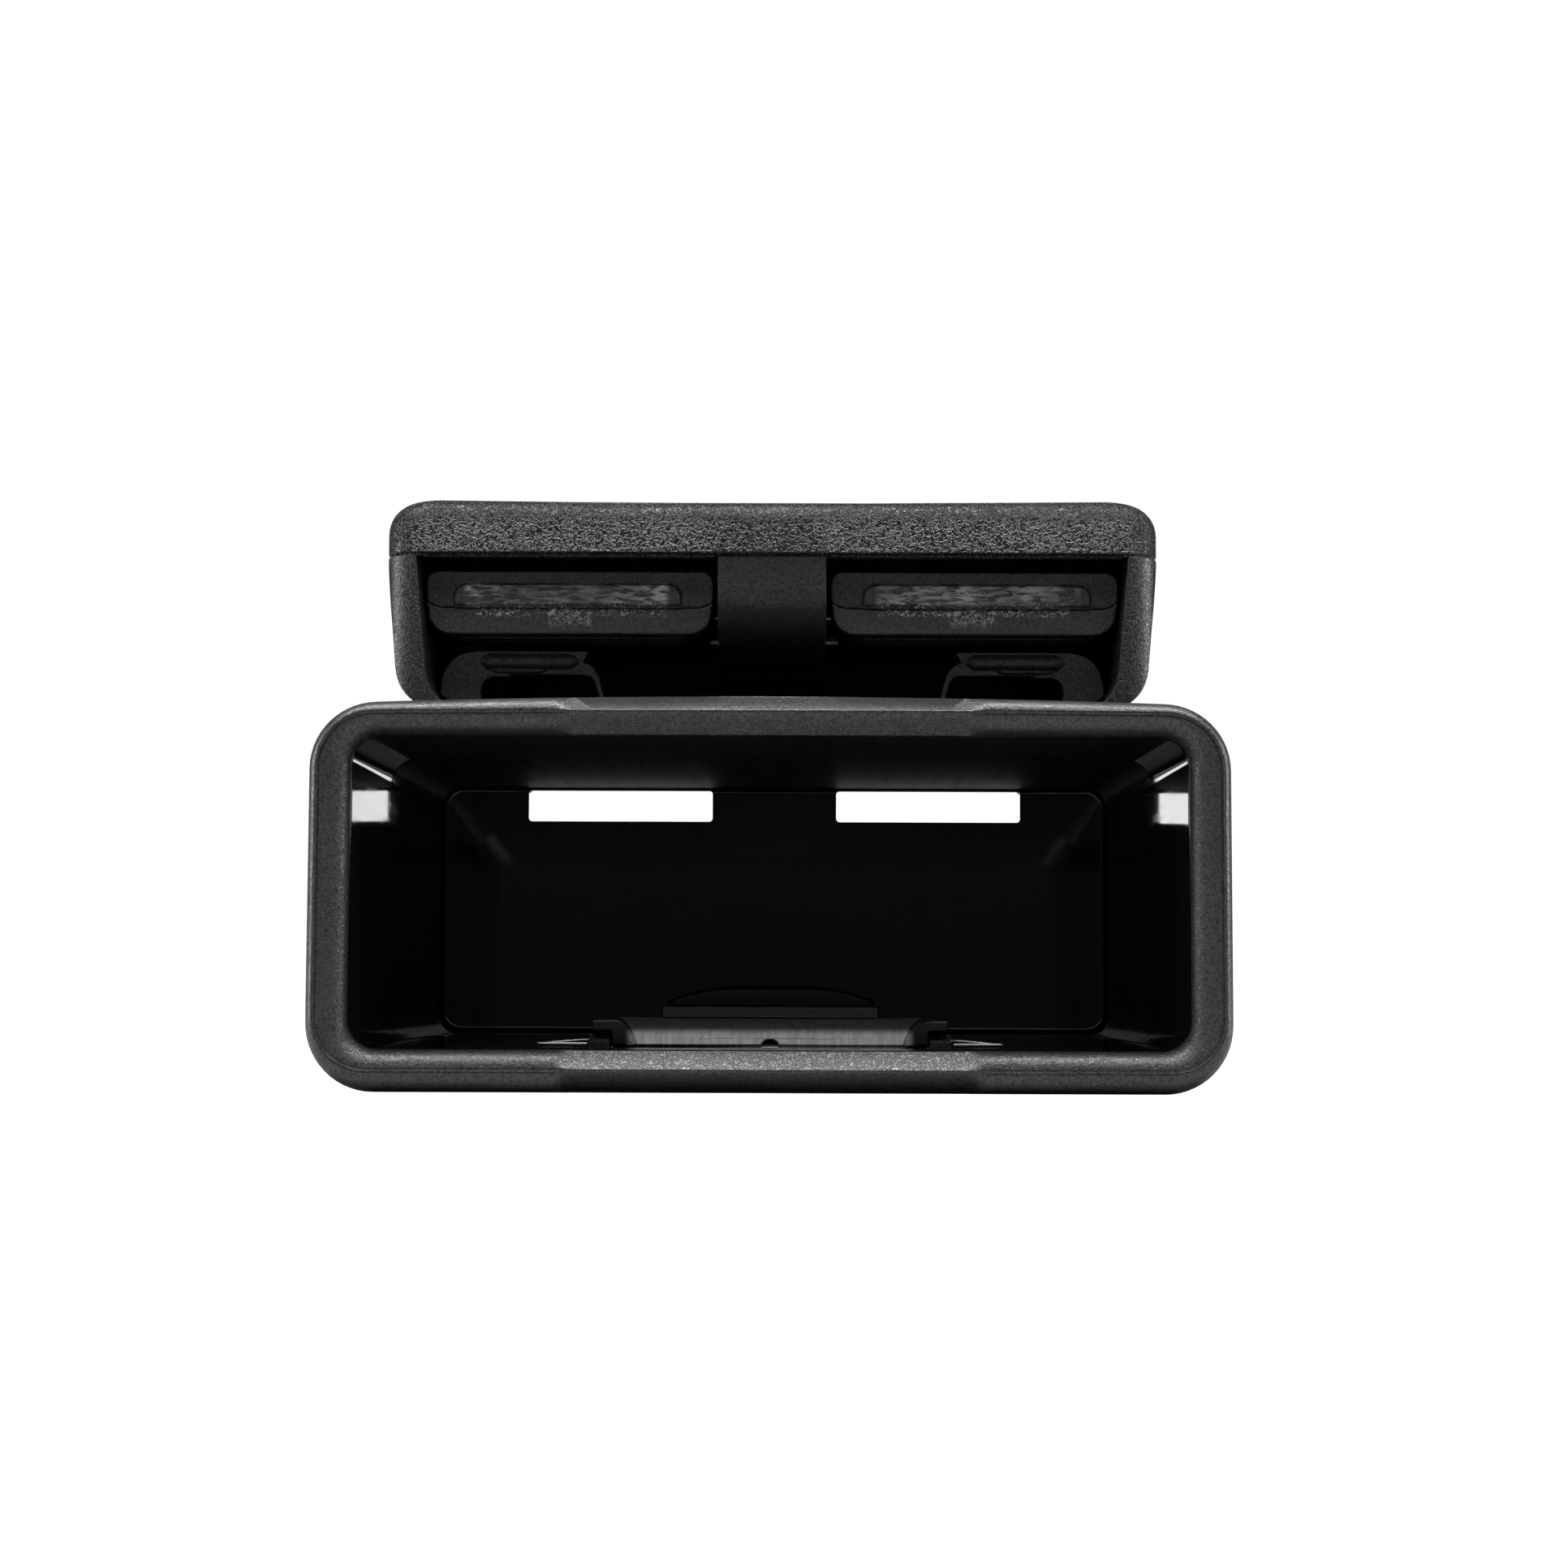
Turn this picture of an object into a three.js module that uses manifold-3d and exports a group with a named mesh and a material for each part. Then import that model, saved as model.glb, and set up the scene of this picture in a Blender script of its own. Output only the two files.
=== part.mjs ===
// Clip-on napkin dispenser, in black moulded plastic.
//
// An open-mouthed pocket holds a stack of folded napkins. A sprung lever in the mouth's lower wall
// keeps the stack from sliding out. On the pocket's back sits a clip housing: two sprung tongues
// press down on a pair of guide arches and grip a sheet-metal lip, a rail flange or a strap.
//
// Millimetres. +X is to the right as you face the mouth, +Y runs from the mouth to the closed end and
// +Z is up with the dispenser lying on its long lower face. The exported group's origin is the centre
// of the resting plane, half way along the pocket. Inside it, y is counted from the mouth plane.

import * as THREE from "three";
import { mergeVertices } from "three/addons/utils/BufferGeometryUtils.js";
import Module from "manifold-3d";

const wasm = await Module();
wasm.setup();

// ---- Driving dimensions ------------------------------------------------------------------------

const NAPKIN_WIDTH = 127; // a low-fold napkin's long side
const NAPKIN_PLAY = 3;
const POCKET_DEPTH = 105; // mouth plane to the inside of the closed end
const END_WALL = 3;
const BODY_HEIGHT = 60.4;
const RIM_SIDE = 6.5; // the rolled rim's width at the sides, bottom and top of the mouth
const RIM_BOTTOM = 6.6;
const RIM_TOP = 5.2;
const RIM_DEPTH = 12.6;
const CORNER_OUTER = 10.5;
const CORNER_INNER = 4.6;
const GAP = 0.3; // assembly gap between neighbouring pieces

const MOUTH_HALF = (NAPKIN_WIDTH + NAPKIN_PLAY) / 2;
const BODY_HALF = MOUTH_HALF + RIM_SIDE;
const TOTAL_DEPTH = POCKET_DEPTH + END_WALL;

// Shares of the rim's width, counted inwards from the outer outline.
const WALL_OUTSIDE = 0.52; // the thin wall behind the rim
const SPIGOT_OUTSIDE = 0.76; // the collar's spigot, inside the shell's socket
const SOCKET_INSIDE = 0.72;
const WALL_INSIDE = 1;
const DRAFTED_INSIDE = 1.13; // the pocket narrows towards its closed end
const WALL_BASE = WALL_OUTSIDE * RIM_BOTTOM; // height of the thin wall's underside
const WALL_TOP = BODY_HEIGHT - WALL_OUTSIDE * RIM_TOP;
const FLOOR_INSIDE = RIM_BOTTOM; // height of the pocket's floor

const SEAM_OUTSIDE = 30.3; // the collar and the shell meet here on the outside
const SEAM_INSIDE = 44.5; // and here inside the pocket

const RIM_CROWN = 1; // the rim's upper side is slightly arched
const RIM_CREST = { side: 0.25, bottom: 0.53, top: 0.36 }; // where the rim stands out furthest
const RIM_ROUND = { outer: 3.4, inner: 3.8 }; // depth of the rim's rounding on either side of its crest
const FINGER_HALF = 32; // above and below the middle of the mouth the rim is wedge-shaped
const FINGER_FADE = 1.6;

const WINDOW = { inner: 12, outer: 47.7, low: 48.1, high: 54.2 }; // two slots in the closed end

const LATCH = { y: 25, z: 6.2, bore: 1.33, pin: 1.25 }; // the lever's pivot
const LEVER = { halfBlock: 28.6, halfPlate: 17.6, hub: 2.4, top: 11.3, plateTop: 13.1, front: 22.3, face: 24.9 };
const DISH = { low: 21.5, high: 24.5 }; // half widths of the thumb scoop, at the floor and at the top
const LUG = { inner: 25.7, outer: 29.1, front: 4.9, back: 3, top: 8.7, chamfer: 1.2 };
const BRACKET = { halfWidth: 37.4, front: 17, back: 29.6, flangeHalf: 44, flangeBack: 36, base: 1.3 };
const BRACKET_SCREW_X = 40.9;

const CLIP = { front: 26, back: 106, halfTop: 64.1, halfLow: 62.3, halfFoot: 53, wall: 5.1, floor: 3 };
const CLIP_EDGE = 5.5; // round vertical edges of the clip housing and its cover
const CLIP_BASE = WALL_TOP + GAP;
const CLIP_FLOOR = CLIP_BASE + CLIP.floor;
const CLIP_RIM = 87.4; // the top edge of the clip housing
const WEB_HALF = 9; // the central web between the two bays
const NOSE = { low: 70.5, high: 82, back: 47, foot: 60 }; // where the web's front edge curves back and under
const BACK_WALL = 4;
const COVER = { base: CLIP_RIM + GAP, top: 97.1, corner: 5.9, edge: 4.2, roof: 3.2, skirt: 3.4 };

const PIVOT = { y: 88, z: 81, bore: 2.08, pin: 2 }; // the tongues' pivot
const TONGUE = { inner: 9.8, outer: 57.7, front: 31, headBack: 49, low: 79.3, high: 85.4 };
const ARM = { inner: 12, outer: 44, high: 83.4, hub: 4.6 };
const PAD = { low: 74.8, back: 47.5, corner: 3.8 };
const PLATEAU = { inner: 15.2, outer: 53, low: 79.5, high: 83.1, rise: 0.8 };
const ARCH = { inner: 27.4, outer: 56, front: 36.5, back: 44.5, top: 72.75, leg: 6, bar: 4.1, thin: 1.4 };

const FRAME_SCREWS = [-1, 1].flatMap((side) => [58, 90].map((y) => ({ x: side * 29, y })));
const COVER_SCREWS = [-1, 1].flatMap((side) => [62, 97.5].map((y) => ({ x: side * 53.4, y })));
const FEET = [-1, 1].flatMap((side) => [56, 97].map((y) => ({ x: side * 50, y })));
const FOOT = { radius: 7, taper: 0.6 };

// ---- Materials ---------------------------------------------------------------------------------

const material = (color, roughness, metalness = 0) =>
  new THREE.MeshStandardMaterial({ color, roughness, metalness });
const texturedBlack = material(0x202022, 0.55);
const glossBlack = material(0x08080a, 0.12);
const satinBlack = material(0x18181a, 0.35);
const rubberBlack = material(0x141414, 0.8);
const steel = material(0xb8babd, 0.25, 1);
const blackSteel = material(0x2a2a2c, 0.4, 1);

// ---- Solids ------------------------------------------------------------------------------------

// A closed three.js geometry as a manifold solid, turned inside out if its faces point inwards.
function solid(geometry) {
  const bare = geometry.index ? geometry.toNonIndexed() : geometry.clone();
  bare.deleteAttribute("normal");
  bare.deleteAttribute("uv");
  const merged = mergeVertices(bare, 1e-4);
  const triVerts = new Uint32Array(merged.index.array);
  const build = () => {
    const mesh = { numProp: 3, vertProperties: merged.attributes.position.array, triVerts };
    return new wasm.Manifold(new wasm.Mesh(mesh));
  };
  const made = build();
  if (made.volume() > 0) return made;
  for (let i = 0; i < triVerts.length; i += 3) {
    [triVerts[i + 1], triVerts[i + 2]] = [triVerts[i + 2], triVerts[i + 1]];
  }
  return build();
}

const join = (...parts) => parts.reduce((a, b) => a.add(b));
const common = (...parts) => parts.reduce((a, b) => a.intersect(b));
const cut = (body, ...tools) => tools.reduce((a, b) => a.subtract(b), body);

// A manifold solid as a flat-shaded three.js geometry.
function geometryOf(made) {
  const { numProp, vertProperties, triVerts } = made.getMesh();
  const position = new Float32Array((vertProperties.length / numProp) * 3);
  for (let i = 0; i < position.length / 3; i++) {
    position.set(vertProperties.subarray(i * numProp, i * numProp + 3), i * 3);
  }
  const indexed = new THREE.BufferGeometry();
  indexed.setAttribute("position", new THREE.BufferAttribute(position, 3));
  indexed.setIndex(new THREE.BufferAttribute(new Uint32Array(triVerts), 1));
  const flat = indexed.toNonIndexed();
  flat.computeVertexNormals();
  return flat;
}

function piece(name, shape, look) {
  const mesh = new THREE.Mesh(shape.isBufferGeometry ? shape : geometryOf(shape), look);
  mesh.name = name;
  return mesh;
}

// A box from its lowest and highest corners.
function box(low, high) {
  const size = high.map((h, i) => h - low[i]);
  const middle = high.map((h, i) => (h + low[i]) / 2);
  return solid(new THREE.BoxGeometry(...size).translate(...middle));
}

const AXES = {
  // a shape drawn in (x, z), extruded along y; in (y, z), along x; in (x, y), along z
  y: new THREE.Matrix4().makeBasis(
    new THREE.Vector3(1, 0, 0),
    new THREE.Vector3(0, 0, 1),
    new THREE.Vector3(0, -1, 0),
  ),
  x: new THREE.Matrix4().makeBasis(
    new THREE.Vector3(0, 1, 0),
    new THREE.Vector3(0, 0, 1),
    new THREE.Vector3(1, 0, 0),
  ),
  z: new THREE.Matrix4(),
};

const polygon = (points) => new THREE.Shape(points.map((p) => new THREE.Vector2(...p)));

// A flat outline extruded between two places on an axis.
function prism(outline, axis, from, to, curveSegments = 6) {
  const shape = Array.isArray(outline) ? polygon(outline) : outline;
  const options = { depth: to - from, bevelEnabled: false, curveSegments };
  const start = axis === "y" ? -to : from; // the y basis extrudes towards -y
  const geometry = new THREE.ExtrudeGeometry(shape, options).translate(0, 0, start);
  return solid(geometry.applyMatrix4(AXES[axis]));
}

// A cylinder along an axis through a point given on the other two axes, in x, y, z order.
function rod(axis, point, radius, from, to, sides = 20, endRadius = radius) {
  const geometry = new THREE.CylinderGeometry(endRadius, radius, to - from, sides);
  geometry.translate(0, (to + from) / 2, 0);
  if (axis === "x") geometry.rotateZ(-Math.PI / 2).translate(0, point[0], point[1]);
  if (axis === "y") geometry.translate(point[0], 0, point[1]);
  if (axis === "z") geometry.rotateX(Math.PI / 2).translate(point[0], point[1], 0);
  return solid(geometry);
}

// A rectangle with round corners, drawn about its own box.
function roundedRectangle(x0, y0, x1, y1, r) {
  const shape = new THREE.Shape();
  shape.absarc(x1 - r, y0 + r, r, -Math.PI / 2, 0);
  shape.absarc(x1 - r, y1 - r, r, 0, Math.PI / 2);
  shape.absarc(x0 + r, y1 - r, r, Math.PI / 2, Math.PI);
  shape.absarc(x0 + r, y0 + r, r, Math.PI, Math.PI * 1.5);
  shape.closePath();
  return shape;
}

// The surface through a row of loops that all have as many points: a ring if closed, else capped.
function skin(loops, closed) {
  const count = loops[0].length;
  const points = loops.flat();
  const index = [];
  const rows = closed ? loops.length : loops.length - 1;
  for (let i = 0; i < rows; i++) {
    const next = (i + 1) % loops.length;
    for (let j = 0; j < count; j++) {
      const k = (j + 1) % count;
      const [a, b, c, d] = [i * count + j, i * count + k, next * count + j, next * count + k];
      index.push(a, b, d, a, d, c);
    }
  }
  if (!closed) {
    [0, loops.length - 1].forEach((row) => {
      const centre = new THREE.Vector3();
      loops[row].forEach((p) => centre.addScaledVector(p, 1 / count));
      points.push(centre);
      for (let j = 0; j < count; j++) {
        const edge = [row * count + j, row * count + ((j + 1) % count)];
        if (row === 0) edge.reverse();
        index.push(...edge, points.length - 1);
      }
    });
  }
  return new THREE.BufferGeometry().setFromPoints(points).setIndex(index);
}

// ---- The pocket --------------------------------------------------------------------------------

const CORNER_STEPS = 6;
const LONG_STOPS = [44, FINGER_HALF + FINGER_FADE, FINGER_HALF, FINGER_HALF - FINGER_FADE, 20, 10]; // along x

// The pocket's outline at one depth. Shares of the rim's width say how far it lies inside the outer
// outline: one number, or one each for the sides, the bottom and the top.
function pocketLoop(share, y) {
  const { side, bottom, top } = typeof share === "number" ? { side: share, bottom: share, top: share } : share;
  const half = BODY_HALF - side * RIM_SIDE;
  const low = bottom * RIM_BOTTOM;
  const high = BODY_HEIGHT - top * RIM_TOP;
  const lowRadius = THREE.MathUtils.lerp(CORNER_OUTER, CORNER_INNER, (side + bottom) / 2);
  const highRadius = THREE.MathUtils.lerp(CORNER_OUTER, CORNER_INNER, (side + top) / 2);
  const corners = [
    [half - lowRadius, low + lowRadius, lowRadius, -90],
    [half - highRadius, high - highRadius, highRadius, 0],
    [highRadius - half, high - highRadius, highRadius, 90],
    [lowRadius - half, low + lowRadius, lowRadius, 180],
  ];
  const loop = [];
  corners.forEach(([x, z, radius, start], i) => {
    for (let s = 0; s <= CORNER_STEPS; s++) {
      const angle = THREE.MathUtils.degToRad(start + (90 * s) / CORNER_STEPS);
      loop.push(new THREE.Vector3(x + radius * Math.cos(angle), y, z + radius * Math.sin(angle)));
    }
    if (i % 2 === 0) return; // only the long sides are divided
    const stops = [...LONG_STOPS, 0, ...LONG_STOPS.map((stop) => -stop).reverse()];
    const level = loop.at(-1).z;
    stops.forEach((stop) => loop.push(new THREE.Vector3(Math.sign(x) * stop, y, level)));
  });
  return loop;
}

const pocketTube = (rows) => solid(skin(rows.map(([share, y]) => pocketLoop(share, y)), false));

// Lifts the upper side of the rim into its arch.
function crown(point, share) {
  const arch = 1 - (point.x / (BODY_HALF - CORNER_OUTER)) ** 2;
  if (point.z > BODY_HEIGHT / 2) point.z += RIM_CROWN * Math.max(0, arch) * Math.max(0, 1 - share / WALL_OUTSIDE);
}

// One loop of the rolled rim: turn runs from -1 on the outer side, over the crest at 0, to 1 inside the
// mouth. Each turn is a quarter ellipse, but in the middle of the mouth it is a straight wedge.
function rimLoop(turn) {
  const away = Math.sin((Math.abs(turn) * Math.PI) / 2);
  const depth = turn < 0 ? RIM_ROUND.outer : RIM_ROUND.inner;
  const place = (crest) => (turn < 0 ? crest * (1 - away) : crest + (WALL_INSIDE - crest) * away);
  const share = { side: place(RIM_CREST.side), bottom: place(RIM_CREST.bottom), top: place(RIM_CREST.top) };
  const round = depth * (1 - Math.sqrt(1 - away ** 2));
  const loop = pocketLoop(share, round);
  loop.forEach((point) => {
    const reach = FINGER_HALF + FINGER_FADE - Math.abs(point.x);
    const middle = THREE.MathUtils.smoothstep(reach, 0, 2 * FINGER_FADE);
    point.y = THREE.MathUtils.lerp(round, depth * away, middle);
    crown(point, share.top);
  });
  return loop;
}

// Rim, mouth and the front part of the pocket, with a spigot that enters the shell's socket.
function frontCollar() {
  const rim = [-1, -0.75, -0.5, -0.25, 0, 0.25, 0.5, 0.75, 1].map(rimLoop);
  const wall = [
    [WALL_INSIDE, SEAM_INSIDE],
    [SPIGOT_OUTSIDE, SEAM_INSIDE],
    [SPIGOT_OUTSIDE, SEAM_OUTSIDE],
    [WALL_OUTSIDE, SEAM_OUTSIDE],
    [WALL_OUTSIDE, 16.2],
    [0.4, 14.8],
    [0.12, 13.6],
    [0, RIM_DEPTH],
  ].map(([share, y]) => {
    const loop = pocketLoop(share, y);
    loop.forEach((point) => crown(point, share));
    return loop;
  });
  const opening = BRACKET.halfWidth + GAP;
  return cut(
    solid(skin([...rim, ...wall], true)),
    box([-opening, BRACKET.front - GAP, 0], [opening, BRACKET.back + GAP, FLOOR_INSIDE + 2]),
    ...[-1, 1].map((side) => rod("z", [side * BRACKET_SCREW_X, LATCH.y], 1.3, 0, 6)),
  );
}

// The rest of the pocket, closed at the far end, with a socket at the front.
function rearShell() {
  const round = 3.4;
  const outside = pocketTube([
    [WALL_OUTSIDE, SEAM_OUTSIDE + GAP],
    [WALL_OUTSIDE, TOTAL_DEPTH - round],
    [WALL_OUTSIDE + 0.05, TOTAL_DEPTH - 0.4 * round],
    [WALL_OUTSIDE + 0.18, TOTAL_DEPTH - 0.1 * round],
    [WALL_OUTSIDE + 0.36, TOTAL_DEPTH],
  ]);
  const socket = pocketTube([
    [SOCKET_INSIDE, 0],
    [SOCKET_INSIDE, SEAM_INSIDE + GAP],
  ]);
  const hollow = pocketTube([
    [WALL_INSIDE, 0],
    [WALL_INSIDE, SEAM_INSIDE],
    [DRAFTED_INSIDE - 0.03, POCKET_DEPTH - 1.6],
    [DRAFTED_INSIDE + 0.1, POCKET_DEPTH],
  ]);
  const bosses = FRAME_SCREWS.map(({ x, y }) => rod("z", [x, y], 3.5, WALL_TOP - 1, CLIP_FLOOR - 0.1));
  const holes = FRAME_SCREWS.map(({ x, y }) => rod("z", [x, y], 1.75, WALL_TOP - 1.6, CLIP_FLOOR + 1, 12));
  const windows = [-1, 1].map((side) => {
    const [a, b] = [side * WINDOW.inner, side * WINDOW.outer].sort((p, q) => p - q);
    return prism(
      roundedRectangle(a, WINDOW.low, b, WINDOW.high, 0.6),
      "y",
      POCKET_DEPTH - 3,
      TOTAL_DEPTH + 1,
      3,
    );
  });
  return cut(join(cut(outside, socket, hollow), ...bosses), ...holes, ...windows);
}

function foot() {
  const top = WALL_BASE - 0.05;
  return rod("z", [0, 0], FOOT.radius - FOOT.taper, 0, top, 28, FOOT.radius);
}

// ---- Screws and springs ------------------------------------------------------------------------

// A screw along z: its head stands on z 0 and its shank hangs below. The socket is six-sided.
function panScrew({ head, rise, shank, length }) {
  const crown = rod("z", [0, 0], head, 0, rise * 0.6, 16);
  const dome = rod("z", [0, 0], head, rise * 0.6 - 0.01, rise, 16, head * 0.78);
  const body = rod("z", [0, 0], shank, -length, 0.1, 10);
  const socket = rod("z", [0, 0], head * 0.42, rise * 0.45, rise + 1, 6);
  return cut(join(crown, dome, body), socket);
}

// A flat-headed screw along z: its face is at z 0.
function countersunkScrew({ head, sink, shank, length }) {
  const cone = rod("z", [0, 0], shank, -sink, -0.3, 16, head);
  const land = rod("z", [0, 0], head, -0.31, 0, 16);
  const body = rod("z", [0, 0], shank, -length, -sink + 0.05, 10);
  const socket = rod("z", [0, 0], head * 0.45, -sink * 0.7, 1, 6);
  return cut(join(cone, land, body), socket);
}

// A wire bent through a row of points.
function wire(points, radius, steps) {
  const section = new THREE.Shape();
  section.absarc(0, 0, radius, 0, Math.PI * 2);
  const extrudePath = new THREE.CatmullRomCurve3(points, false, "centripetal");
  return new THREE.ExtrudeGeometry(section, { steps, extrudePath, curveSegments: 3 });
}

// Points of a coil about the x axis, from one turn angle to another, in degrees from +y towards +z.
function coil(radius, x0, x1, from, to, perTurn = 12) {
  const count = Math.round((Math.abs(to - from) / 360) * perTurn);
  return Array.from({ length: count + 1 }, (_, i) => {
    const angle = THREE.MathUtils.degToRad(from + ((to - from) * i) / count);
    const x = x0 + ((x1 - x0) * i) / count;
    return new THREE.Vector3(x, radius * Math.cos(angle), radius * Math.sin(angle));
  });
}

// ---- The retaining latch, about its own pivot axis ---------------------------------------------

// Coordinates here are (y, z) from the pivot.
const fromPivot = (y, z) => [y - LATCH.y, z - LATCH.z];

// The thumb scoop's curve, from the pocket's floor up to the plate.
function traceScoop(shape) {
  const floor = FLOOR_INSIDE + GAP;
  shape.lineTo(...fromPivot(LEVER.front, floor));
  shape.quadraticCurveTo(...fromPivot(23.7, floor + 2.3), ...fromPivot(24.3, 11));
  shape.lineTo(...fromPivot(LEVER.face, LEVER.plateTop));
}

// What the thumb scoop removes: everything above its curve, between two curved cheeks.
function thumbScoop() {
  const above = new THREE.Shape();
  above.moveTo(...fromPivot(5, FLOOR_INSIDE + GAP));
  traceScoop(above);
  above.lineTo(...fromPivot(LEVER.face, 20));
  above.lineTo(...fromPivot(5, 20));
  above.closePath();
  const [, low] = fromPivot(0, FLOOR_INSIDE);
  const [, high] = fromPivot(0, LEVER.top);
  const dish = new THREE.Shape();
  dish.moveTo(-DISH.low, low);
  dish.lineTo(DISH.low, low);
  dish.quadraticCurveTo(DISH.low + 0.8, high - 1.3, DISH.high, high);
  dish.lineTo(DISH.high, high + 9);
  dish.lineTo(-DISH.high, high + 9);
  dish.lineTo(-DISH.high, high);
  dish.quadraticCurveTo(-DISH.low - 0.8, high - 1.3, -DISH.low, low);
  dish.closePath();
  return common(prism(above, "x", -30, 30, 10), prism(dish, "y", -25, 10, 8));
}

function latchLever() {
  const { halfBlock, halfPlate, hub, top, plateTop, face } = LEVER;
  const base = FLOOR_INSIDE + GAP;
  const block = prism(
    [
      fromPivot(19.6, base),
      fromPivot(LATCH.y, base),
      fromPivot(30.6, 8.1),
      fromPivot(30.6, top - 0.6),
      fromPivot(30, top),
      fromPivot(20.2, top),
      fromPivot(19.6, top - 0.6),
    ],
    "x",
    -halfBlock,
    halfBlock,
  );
  const plate = prism(
    [
      fromPivot(face - 1, 8),
      fromPivot(30, 8.1),
      fromPivot(51, 11.5),
      fromPivot(51, plateTop),
      fromPivot(face, plateTop),
    ],
    "x",
    -halfPlate,
    halfPlate,
  );
  const [, low] = fromPivot(0, 12);
  const [, shoulder] = fromPivot(0, 14);
  const [, peak] = fromPivot(0, 16.4);
  const arc = new THREE.Shape(); // the domed lip, seen from the mouth
  arc.moveTo(-17.8, low);
  arc.lineTo(17.8, low);
  arc.lineTo(17.8, shoulder);
  arc.quadraticCurveTo(12, peak, 6, peak);
  arc.lineTo(-6, peak);
  arc.quadraticCurveTo(-12, peak, -17.8, shoulder);
  arc.closePath();
  const [lipFront] = fromPivot(49.6, 0);
  const lip = prism(arc, "y", lipFront, lipFront + 6.4, 8);
  const barrel = rod("x", [0, 0], hub, -halfBlock, halfBlock, 24);
  const [, eaves] = fromPivot(0, LUG.top + 0.5);
  const lugSpace = [-1, 1].map((side) => {
    const ends = [side * (LUG.inner - GAP), side * (halfBlock + 1)].sort((a, b) => a - b);
    return box([ends[0], -9, -9], [ends[1], 9, eaves]); // the block's ends reach over the lugs
  });
  const bore = rod("x", [0, 0], LATCH.bore, -halfBlock - 1, halfBlock + 1, 24);
  const notch = rod("y", [0, 0.2], 1.5, -20, 0, 16); // shows the pin in the scoop's middle
  return cut(join(block, plate, barrel), thumbScoop(), bore, notch, ...lugSpace).add(lip);
}

function latchBracket() {
  const { halfWidth, front, back, flangeHalf, flangeBack, base } = BRACKET;
  const [y0, z0] = fromPivot(front, base);
  const [y1, shelf] = fromPivot(back, WALL_BASE - 0.1);
  const [flange] = fromPivot(flangeBack, 0);
  const [, surface] = fromPivot(0, FLOOR_INSIDE - 0.1);
  const plug = box([-halfWidth, y0, z0], [halfWidth, y1, surface]);
  const plate = prism(roundedRectangle(-flangeHalf, y0, flangeHalf, flange, 3), "z", z0, shelf);
  const { inner, outer, chamfer } = LUG;
  const top = LUG.top - LATCH.z;
  const lugs = [-1, 1].map((side) => {
    const ends = [side * inner, side * outer].sort((a, b) => a - b);
    const outline = [
      [-LUG.front, -2],
      [LUG.back, -2],
      [LUG.back, top - chamfer],
      [LUG.back - chamfer, top],
      [chamfer - LUG.front, top],
      [-LUG.front, top - chamfer],
    ];
    return prism(outline, "x", ...ends);
  });
  const trough = rod("x", [0, 0], LEVER.hub + 0.4, -inner, inner, 24);
  const bore = rod("x", [0, 0], LATCH.bore, -outer - 1, outer + 1, 20);
  const holes = [-1, 1].map((side) => rod("z", [side * BRACKET_SCREW_X, 0], 1.3, z0 - 1, shelf + 1, 16));
  const tailWay = box([-halfWidth - 1, -1, surface - 1], [halfWidth + 1, 8.6, surface + 1]);
  return cut(join(cut(plug, tailWay), plate, ...lugs), trough, bore, ...holes);
}

// One hairpin spring: its lower leg lies on the bracket outside the lug, and its upper leg passes
// behind the lug to lift the lever's block.
function latchSpring(side) {
  const [, floor] = fromPivot(0, FLOOR_INSIDE + 0.42);
  const path = [
    [LUG.inner - 4, 4.6, 0.9],
    [LUG.inner - 1.5, 4.5, 0.85],
    [LUG.outer + 0.5, 3.6, 1.4],
    [LUG.outer + 3.9, 2.4, 1.15],
    [LUG.outer + 7, 1.2, floor + 0.08],
    [LUG.outer + 8.4, 0.6, floor],
    [LUG.outer + 8.9, 0.1, floor],
    [LUG.outer + 8.4, -0.4, floor],
    [LUG.outer + 5, -0.7, floor],
    [LUG.outer + 0.6, -0.9, floor],
  ];
  return wire(path.map(([x, y, z]) => new THREE.Vector3(side * x, y, z)), 0.36, 40);
}

function latchPin() {
  const half = LUG.outer + 0.1;
  const shaft = rod("x", [0, 0], LATCH.pin, 0.4 - half, half - 0.4, 24);
  const ends = [-1, 1].map((side) => {
    const radii = [LATCH.pin - 0.3, LATCH.pin];
    const [from, to] = side < 0 ? [-half, 0.41 - half] : [half - 0.41, half];
    return rod("x", [0, 0], radii[side < 0 ? 0 : 1], from, to, 24, radii[side < 0 ? 1 : 0]);
  });
  return join(shaft, ...ends);
}

// ---- The clip housing --------------------------------------------------------------------------

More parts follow.
